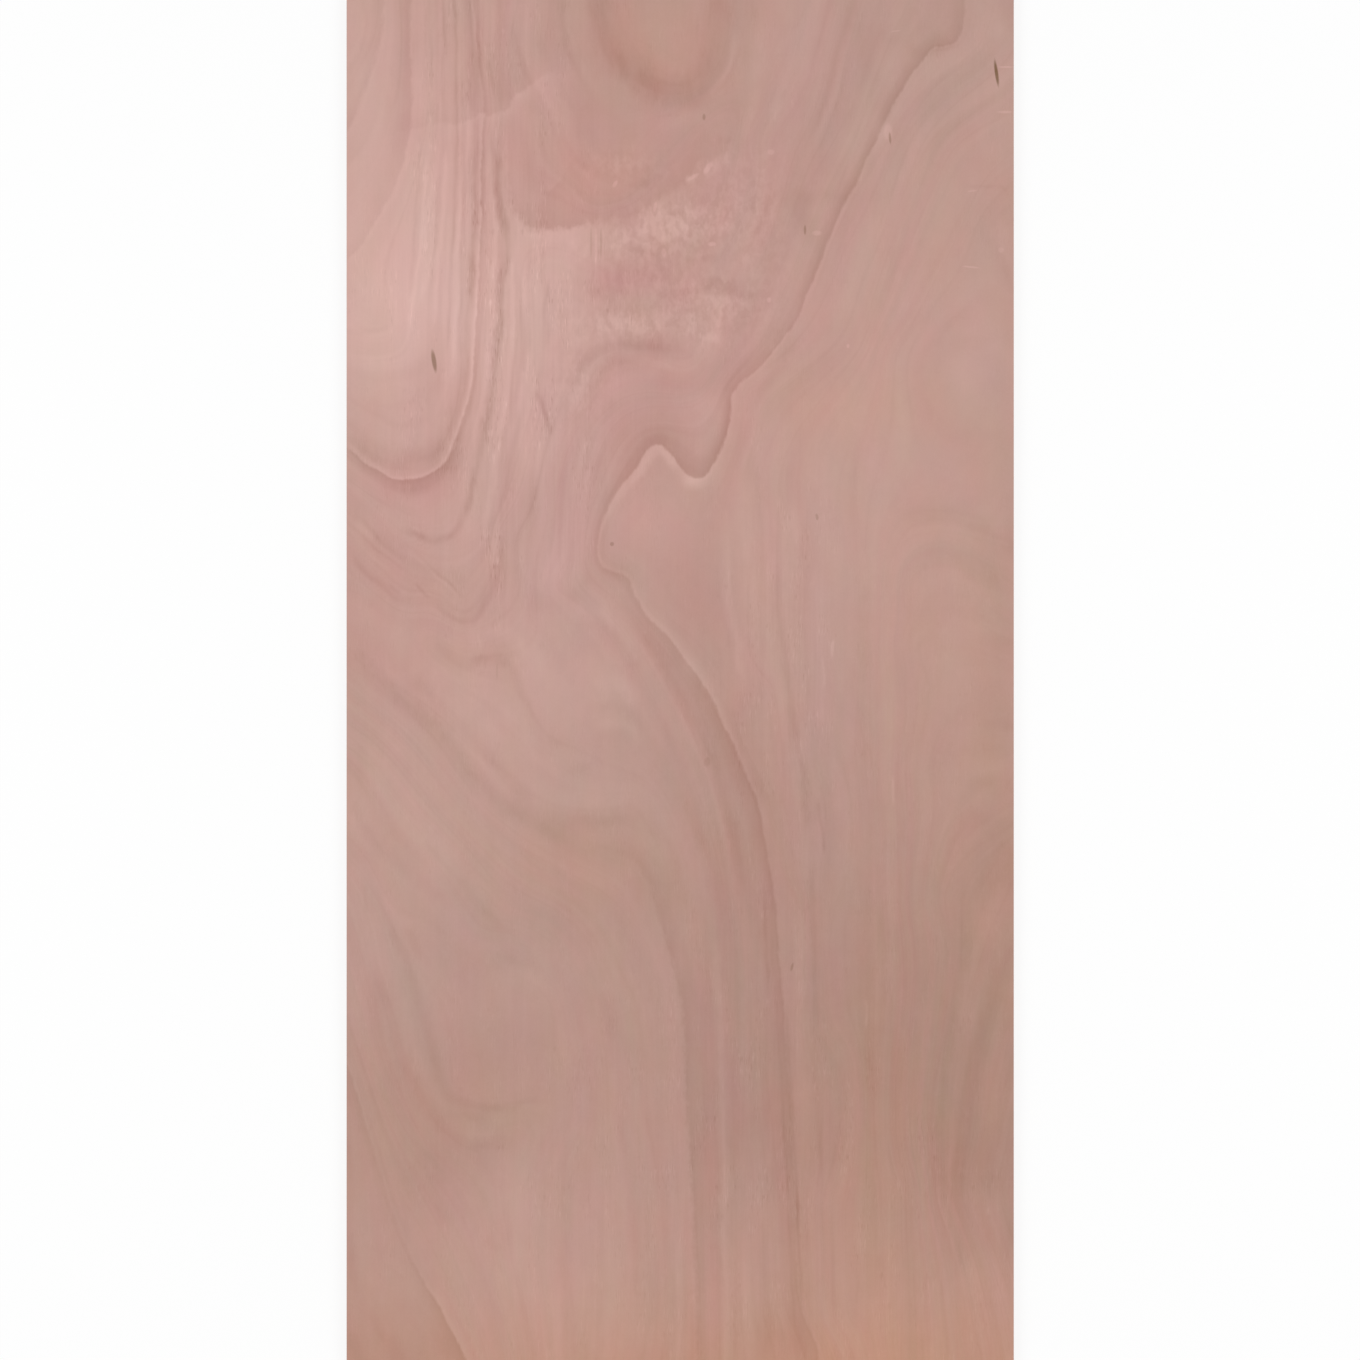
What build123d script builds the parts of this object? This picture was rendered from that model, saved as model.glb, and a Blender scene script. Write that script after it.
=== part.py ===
"""Plywood sheet: one glued and trimmed panel, lying flat on its back face.

The face grain runs along Y, the long way. The origin is the middle of the back face, and +Z goes
up through the thickness to the good face.
"""

import os

from build123d import *

# Trimmed size of the panel, millimetres.
sheet_width = 1220.0
sheet_length = 2500.0
sheet_thickness = 18.0

# The trimming saw leaves crisp edges, which sanding and handling break by a hair.
arris_break = 0.4
# The four upright corners are square, and only handling has rounded them.
corner_round = 1.0

# The panel: its trimmed outline, raised to its thickness, with the edges of both faces broken.
with BuildPart() as sheet:
    with BuildSketch(Plane.XY):
        RectangleRounded(sheet_width, sheet_length, corner_round)
    extrude(amount=sheet_thickness)
    broad_faces = sheet.faces().filter_by(Axis.Z)
    chamfer(broad_faces.edges(), length=arris_break)

sheet.part.label = "plywood_sheet"

os.makedirs("parts", exist_ok=True)
export_step(sheet.part, "parts/plywood_sheet.step")
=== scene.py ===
"""Looks of the plywood sheet: the rotary-cut figure of its good face, its sawn edges and its back.

The sheet lies flat with its good face up and its grain along Y. The figure is drawn as grain lines
in pixels of the photograph, and each line is carried onto the face as a distance, which the veneer's
material turns into a crisp or soft change of tone.
"""

import bpy
import numpy as np
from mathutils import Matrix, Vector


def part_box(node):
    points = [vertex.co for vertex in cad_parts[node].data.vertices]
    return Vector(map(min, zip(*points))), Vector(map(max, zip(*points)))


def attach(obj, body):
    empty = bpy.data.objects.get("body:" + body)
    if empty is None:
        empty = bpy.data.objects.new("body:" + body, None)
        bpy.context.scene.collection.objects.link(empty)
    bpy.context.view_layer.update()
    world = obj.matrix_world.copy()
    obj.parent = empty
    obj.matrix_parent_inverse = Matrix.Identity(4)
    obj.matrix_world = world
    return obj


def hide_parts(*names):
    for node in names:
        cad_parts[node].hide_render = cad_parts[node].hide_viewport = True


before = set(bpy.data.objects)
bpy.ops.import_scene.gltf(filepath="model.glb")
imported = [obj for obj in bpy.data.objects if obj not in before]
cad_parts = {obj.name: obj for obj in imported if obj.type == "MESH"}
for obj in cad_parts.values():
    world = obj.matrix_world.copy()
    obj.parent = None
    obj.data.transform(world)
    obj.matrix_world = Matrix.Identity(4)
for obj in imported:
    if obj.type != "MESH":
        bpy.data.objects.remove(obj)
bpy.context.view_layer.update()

# The photograph's frame, in pixels: its width and height, and the sheet's two long edges in it.
PHOTO_PX = 1360.0
LEFT_EDGE_PX = 346.6
RIGHT_EDGE_PX = 1013.8

# The panel, from the frame, in metres.
SHEET_LOW, SHEET_HIGH = (np.array(corner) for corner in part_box("plywood_sheet"))
WIDTH, LENGTH, THICKNESS = SHEET_HIGH - SHEET_LOW
MM = 0.001
ARRIS = 0.4 * MM
CORNER_ROUND = 1.0 * MM
PX = WIDTH / (RIGHT_EDGE_PX - LEFT_EDGE_PX)
MIDDLE_PX = (LEFT_EDGE_PX + RIGHT_EDGE_PX) / 2

# The plies, back to face: two thin faces over seven cores, in millimetres.
FACE_PLY = 1.3
CORE_PLIES = 7
# How far the plies that show end grain stand back from those that show long grain, after sawing.
END_GRAIN_STEP = 0.12 * MM
# How squarely a post of the edge has to face along the sheet to be on an end.
FACING_END = 0.9
# Half the height over which one ply's sawn face passes to the next.
SEAM_HALF = 0.08 * MM

# The mesh of the good face, in cells, and how many of them one cell of the edges and back spans.
FACE_CELLS_ACROSS = 200
FACE_CELLS_ALONG = 420
COARSE_STEP = 4


# The figure of the good face.

def edge(points, profile, soft=1.4, ring=None):
    """A ring's sharp edge. Its dark side is on the left hand of someone walking along its points.

    The profile gives, at some of the points by number, how dark it is, how far in pixels that
    takes to fade, how pale its other side is, and how far that takes to fade. The ring is the
    edge's place in the order of rings.
    """
    return {"points": points, "profile": profile, "soft": soft, "ring": ring}


def line(points, tone, width, ring=None, ends=25.0):
    """A soft grain line: darker or paler by its tone, over its width in pixels, fading at its ends."""
    return {"points": points, "tone": tone, "width": width, "ring": ring, "ends": ends}


EDGES = {
    # The long ridge, from the foot of the sheet up over the nose, the peak and the notch to the head.
    "ridge": edge(
        [(822, 1380), (816, 1345), (801, 1306), (797, 1270), (795, 1210), (792, 1140), (787, 1060),
         (782, 990), (777, 925), (772, 880), (764, 835), (754, 792), (733, 746), (715, 705), (696, 674),
         (673, 643), (651, 619), (637, 598), (629, 579), (612, 570), (601, 564), (597, 552), (599, 535),
         (608, 510), (620, 487), (637, 465), (650, 450), (661, 445), (671, 453), (679, 465), (687, 473),
         (702, 477), (714, 467), (721, 451), (727, 434), (730, 412), (732, 395), (741, 381), (758, 367),
         (778, 347), (797, 318), (813, 282), (828, 241), (844, 207), (865, 164), (886, 118), (902, 91),
         (917, 67), (929, 52), (944, 47), (959, 38), (964, 18), (966, -20)],
        {0: (0.10, 40, 0.05, 10), 2: (0.10, 22, 0.02, 10), 4: (0.08, 18, 0.02, 12),
         6: (0.10, 20, 0.02, 12), 7: (0.15, 20, 0.01, 10), 9: (0.16, 18, 0.01, 10),
         10: (0.17, 22, 0.02, 10), 11: (0.19, 26, 0.03, 9), 12: (0.22, 34, 0.05, 10),
         14: (0.18, 42, 0.10, 13), 16: (0.15, 26, 0.10, 14), 18: (0.14, 18, 0.03, 10),
         20: (0.14, 12, 0.04, 7), 22: (0.16, 11, 0.05, 8), 24: (0.18, 22, 0.04, 12),
         25: (0.21, 34, 0.08, 14), 27: (0.22, 40, 0.15, 16), 29: (0.20, 36, 0.13, 14),
         31: (0.18, 42, 0.17, 17), 33: (0.29, 20, 0.10, 9), 35: (0.29, 15, 0.07, 12),
         37: (0.17, 24, 0.08, 18), 38: (0.17, 26, 0.08, 18), 40: (0.17, 24, 0.05, 10),
         42: (0.18, 20, 0.04, 10), 44: (0.17, 18, 0.05, 10), 46: (0.20, 18, 0.05, 16),
         48: (0.21, 22, 0.05, 16), 50: (0.16, 26, 0.04, 14), 52: (0.09, 30, 0.04, 12)},
        soft=1.8, ring=170),
    # The cathedral on the left: a pale hair line, and a dark band outside it.
    "cathedral": edge(
        [(473, -20), (475, 20), (478, 60), (484, 100), (482, 140), (481, 200), (480, 250), (477, 300),
         (475, 345), (472, 378), (467, 406), (459, 430), (451, 451), (441, 466), (427, 475), (406, 479),
         (388, 476), (370, 467), (355, 455), (338, 440)],
        {0: (0.15, 10, 0.03, 4), 3: (0.15, 12, 0.05, 5), 5: (0.26, 12, 0.12, 6), 7: (0.26, 11, 0.16, 4),
         9: (0.25, 11, 0.15, 4), 11: (0.24, 16, 0.16, 5), 13: (0.26, 26, 0.19, 6), 15: (0.30, 24, 0.16, 5),
         17: (0.21, 18, 0.14, 6), 19: (0.11, 14, 0.07, 6)},
        soft=1.6, ring=0),
    "small inner U": edge(
        [(330, 148), (352, 122), (362, 98), (371, 72), (380, 45), (383, 20), (382, -20)],
        {0: (0.10, 26, 0.03, 10), 3: (0.10, 20, 0.05, 16), 5: (0.14, 18, 0.05, 14),
         6: (0.12, 20, 0.04, 12)},
        soft=3.0, ring=-80),
    "large inner U": edge(
        [(330, 272), (355, 252), (371, 230), (387, 203), (397, 180), (405, 156), (411, 126), (412, 98),
         (411, 60), (410, -20)],
        {0: (0.12, 36, 0.02, 8), 2: (0.11, 30, 0.03, 8), 4: (0.11, 26, 0.04, 8), 6: (0.15, 24, 0.05, 8),
         9: (0.13, 20, 0.03, 8)},
        soft=2.4, ring=-55),
    # The dark lobe at the top, with a pale flecked zone under it, and the wedge over its left shoulder.
    "lobe": edge(
        [(507, 118), (507, 160), (510, 195), (516, 212), (528, 226), (548, 231), (572, 228), (592, 222),
         (608, 221), (630, 216), (650, 206), (672, 192), (690, 178), (708, 162), (730, 146), (748, 110)],
        {0: (0.03, 40, 0.01, 8), 1: (0.08, 50, 0.01, 8), 3: (0.16, 70, 0.06, 18), 5: (0.21, 110, 0.13, 80),
         6: (0.19, 110, 0.12, 70), 7: (0.15, 100, 0.06, 40), 9: (0.11, 80, 0.01, 30),
         12: (0.07, 60, 0.01, 20), 15: (0.02, 50, 0.01, 14)},
        soft=5.0, ring=30),
    "wedge": edge(
        [(402, 132), (440, 124), (472, 119), (480, 114), (489, 116), (499, 113), (509, 110), (512, 100),
         (519, 92), (527, 86), (539, 78), (556, 74)],
        {0: (0.02, 40, 0.02, 12), 1: (0.04, 60, 0.05, 26), 4: (0.06, 60, 0.08, 24),
         7: (0.08, 60, 0.10, 22), 10: (0.05, 50, 0.06, 20), 11: (0.02, 40, 0.02, 16)},
        soft=3.0),
    # The lower half: the edge that drops straight to the foot, and the one across the lower left corner.
    "straight fall": edge(
        [(590, 850), (618, 853), (638, 864), (650, 884), (655, 907), (664, 937), (672, 962), (679, 992),
         (684, 1040), (687, 1115), (691, 1170), (694, 1240), (697, 1305), (699, 1380)],
        {0: (0.01, 20, 0.00, 14), 2: (0.07, 26, 0.01, 14), 4: (0.08, 28, 0.03, 18),
         6: (0.09, 30, 0.05, 26), 8: (0.08, 50, 0.06, 32), 10: (0.08, 54, 0.06, 30),
         12: (0.07, 54, 0.04, 24), 13: (0.07, 54, 0.04, 24)},
        soft=4.6, ring=65),
    "corner sweep": edge(
        [(472, 1376), (454, 1335), (438, 1304), (424, 1283), (408, 1250), (395, 1220), (383, 1182),
         (374, 1150), (364, 1120), (354, 1085), (343, 1055)],
        {0: (0.15, 34, 0.14, 13), 2: (0.14, 22, 0.13, 11), 3: (0.08, 14, 0.05, 6), 4: (0.02, 12, 0.01, 6),
         6: (0.04, 10, 0.02, 6), 8: (0.07, 14, 0.03, 6), 10: (0.08, 18, 0.05, 6)},
        soft=1.6, ring=-190),
}

CRISP_LINES = [
    # The thin dark line along the ridge's upper part, and the pale rim inside its peak.
    line([(913, 71), (900, 91), (886, 116), (862, 164), (841, 207), (825, 241), (810, 282), (795, 317)],
         -0.04, 3.0, ends=30.0),
    line([(926, 54), (942, 50), (958, 42)], -0.07, 3.0, ends=8.0),
    line([(606, 524), (614, 505), (625, 488), (641, 469), (652, 457), (661, 452), (669, 459), (678, 473)],
         0.10, 5.0, ends=14.0),
    # Pale and dark lines at the head.
    line([(736, 28), (731, 55), (724, 76), (708, 97)], 0.09, 3.6, ends=12.0),
    line([(511, 15), (517, 45), (526, 70), (540, 96)], -0.06, 4.0),
    line([(557, -20), (565, 35), (577, 68), (591, 96)], -0.06, 4.5),
    line([(553, 116), (561, 140), (573, 160), (590, 175)], -0.07, 5.0),
    line([(795, 50), (782, 90), (766, 135)], 0.06, 5.0),
    line([(842, 66), (830, 100), (815, 142)], 0.06, 4.5),
    # A pale streak right of the nose.
    line([(728, 515), (727, 560), (728, 600), (736, 640), (743, 690)], 0.08, 5.0),
    # Short streaks and flecks.
    line([(697, 14), (698, 50)], -0.06, 1.8, ends=8.0),
    line([(560, 184), (572, 190), (583, 204)], 0.05, 2.5, ends=8.0),
    line([(964, 184), (984, 187), (1000, 187), (1010, 197)], -0.05, 1.8, ends=8.0),
    line([(817, 800), (821, 822), (825, 856)], -0.11, 1.8, ends=8.0),
    line([(823, 655), (824, 690)], 0.12, 1.6, ends=6.0),
    line([(832, 642), (833, 660)], 0.10, 1.6, ends=5.0),
    line([(893, 776), (893, 808)], 0.09, 1.4, ends=6.0),
    line([(866, 998), (866, 1028)], 0.10, 1.6, ends=6.0),
    line([(820, 1115), (822, 1185)], -0.07, 2.6),
    # The thin streaks that the ridge breaks up into at its foot.
    line([(763, 880), (766, 940), (768, 1000)], -0.07, 2.0),
    line([(772, 905), (775, 945), (779, 985)], 0.07, 2.2, ends=12.0),
    line([(774, 980), (780, 1060), (785, 1140), (788, 1210)], -0.06, 1.8),
    line([(786, 1000), (790, 1080), (795, 1160), (798, 1230)], -0.08, 2.0),
    line([(797, 1180), (799, 1250), (802, 1310)], -0.09, 2.0),
    line([(788, 1200), (791, 1270), (797, 1340)], -0.06, 1.8),
    # A short streak by the left edge.
    line([(365, 884), (367, 914)], -0.08, 2.4, ends=8.0),
    # The arches over the peak, and the lines that lead from them to the nose.
    line([(572, 396), (579, 376), (590, 357), (604, 348), (626, 344), (652, 347), (680, 352)],
         -0.08, 5.0, 75),
    line([(586, 404), (594, 386), (606, 369), (622, 361), (640, 360), (654, 362)], -0.11, 5.6, 90),
    line([(573, 396), (565, 420), (557, 440)], -0.08, 4.0),
    line([(600, 358), (588, 368), (580, 384), (575, 400), (572, 420)], 0.06, 5.0),
    line([(628, 396), (612, 404), (602, 420)], -0.07, 5.0),
    line([(610, 435), (599, 462), (592, 490)], -0.05, 4.0, 132),
    line([(591, 450), (585, 490), (583, 530), (585, 570)], 0.05, 3.0),
    line([(594, 425), (582, 455), (574, 490), (571, 530), (572, 560)], 0.09, 4.6, 115),
    line([(569, 440), (563, 480), (559, 530), (560, 570)], -0.06, 3.0),
    # The cathedral's legs and arcs.
    line([(420, 130), (418, 180), (414, 240), (408, 300)], -0.07, 1.8),
    line([(427, 150), (424, 200), (418, 260), (412, 320)], 0.09, 2.2),
    line([(446, 140), (444, 200), (438, 270), (434, 330)], 0.10, 2.4),
    line([(440, 170), (436, 230), (430, 300)], -0.08, 1.8),
    line([(466, 130), (463, 200), (461, 260), (460, 330)], -0.09, 1.6),
    line([(515, 250), (516, 300), (514, 360), (508, 420)], -0.07, 1.6),
    line([(541, 228), (542, 260), (541, 300)], -0.07, 3.0),
    line([(556, 250), (557, 300), (556, 350), (560, 400)], 0.03, 3.0),
    line([(519, 238), (522, 270), (527, 310), (530, 345), (524, 385), (515, 420), (507, 455)], 0.11, 4.5),
    line([(480, 130), (479, 200), (475, 250), (472, 290), (469, 320), (468, 350), (466, 376), (461, 402),
          (453, 426), (444, 444)], -0.14, 5.4),
    line([(456, 384), (450, 408), (440, 428)], -0.06, 9.0),
    line([(490, 128), (492, 170), (495, 205), (501, 235)], -0.10, 3.0),
    line([(478, 40), (480, 80), (481, 108)], -0.10, 3.4),
    line([(441, 60), (440, 130)], 0.06, 3.0),
    line([(457, 85), (459, 130), (456, 185)], 0.07, 3.0),
    line([(432, 20), (431, 60), (431, 100)], -0.08, 1.8, -40),
    line([(443, -20), (444, 20), (446, 58)], -0.09, 1.8),
    line([(440, -20), (438, 60), (438, 150), (429, 205), (420, 260), (411, 310), (406, 350)],
         0.07, 3.5, -34),
    line([(454, -20), (456, 30), (456, 70), (457, 130), (455, 200), (452, 250), (449, 300), (448, 355)],
         -0.13, 2.0, -22),
    line([(470, 112), (464, 170), (460, 200), (457, 260), (455, 335), (454, 380)], 0.09, 3.0),
    line([(468, -20), (470, 60), (475, 130), (475, 200), (474, 270), (472, 305)], -0.13, 4.4, -9),
    line([(452, 418), (444, 438), (432, 452), (415, 461), (394, 463), (370, 452), (340, 428)],
         -0.10, 9.0, -9),
    line([(489, 130), (493, 200), (496, 240), (494, 270), (492, 300), (489, 340), (485, 380), (480, 410),
          (473, 445)], 0.10, 3.2),
    line([(488, 50), (491, 75), (496, 106)], -0.07, 2.4, 20),
    line([(492, -20), (493, 20), (493, 50)], 0.08, 4.0),
    line([(492, 138), (497, 165), (498, 190), (504, 222), (508, 248), (506, 266), (501, 286), (500, 320),
          (497, 348), (494, 375), (489, 405), (483, 440), (475, 472), (470, 496), (464, 517), (453, 532),
          (438, 539), (418, 536), (400, 528)], -0.20, 4.4, 22),
    line([(510, 228), (512, 265), (513, 305), (512, 350), (505, 400), (497, 450), (489, 500), (484, 540)],
         0.11, 3.6, 30),
    line([(530, 360), (527, 410), (520, 470)], 0.06, 7.0),
    line([(549, 275), (547, 296), (544, 312), (547, 332), (545, 352)], -0.11, 2.6, 52, ends=10.0),
    line([(541, 350), (541, 390), (551, 440)], -0.07, 4.0),
    line([(534, 390), (541, 402), (546, 420), (549, 436)], -0.12, 3.6, ends=8.0),
    line([(490, 515), (489, 560), (491, 605)], -0.06, 1.8),
    line([(502, 530), (503, 570), (505, 600)], -0.06, 1.8),
    line([(495, 530), (496, 560), (495, 590)], 0.05, 2.2),
    line([(524, 535), (522, 560), (524, 585)], 0.06, 5.0, 78),
    line([(340, 312), (360, 328), (380, 331), (402, 322)], -0.06, 4.0, -48),
    line([(345, 360), (372, 364), (396, 362)], 0.05, 6.0, -32),
    line([(350, 398), (376, 404), (404, 404), (430, 394)], -0.04, 5.0, -24),
    line([(400, 424), (420, 422), (438, 412)], -0.06, 6.0),
    line([(340, 498), (377, 538), (412, 566)], -0.06, 3.0, 40),
    line([(342, 516), (376, 548), (410, 574)], -0.06, 2.0),
    line([(420, 556), (446, 580), (470, 602)], -0.07, 2.0),
    line([(404, 548), (440, 578), (466, 600)], 0.05, 2.4),
    line([(344, 532), (372, 556), (396, 574)], 0.05, 2.4),
    line([(346, 554), (366, 572), (384, 586), (398, 598), (414, 603)], -0.09, 4.0, 58),
    line([(388, 582), (394, 587), (402, 594)], -0.10, 2.0, ends=5.0),
    line([(414, 584), (422, 592), (430, 600)], -0.10, 2.0, ends=5.0),
    line([(430, 602), (446, 614), (462, 622), (474, 620), (484, 606), (493, 588), (499, 560), (501, 530)],
         -0.08, 4.0, 62),
]
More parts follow.
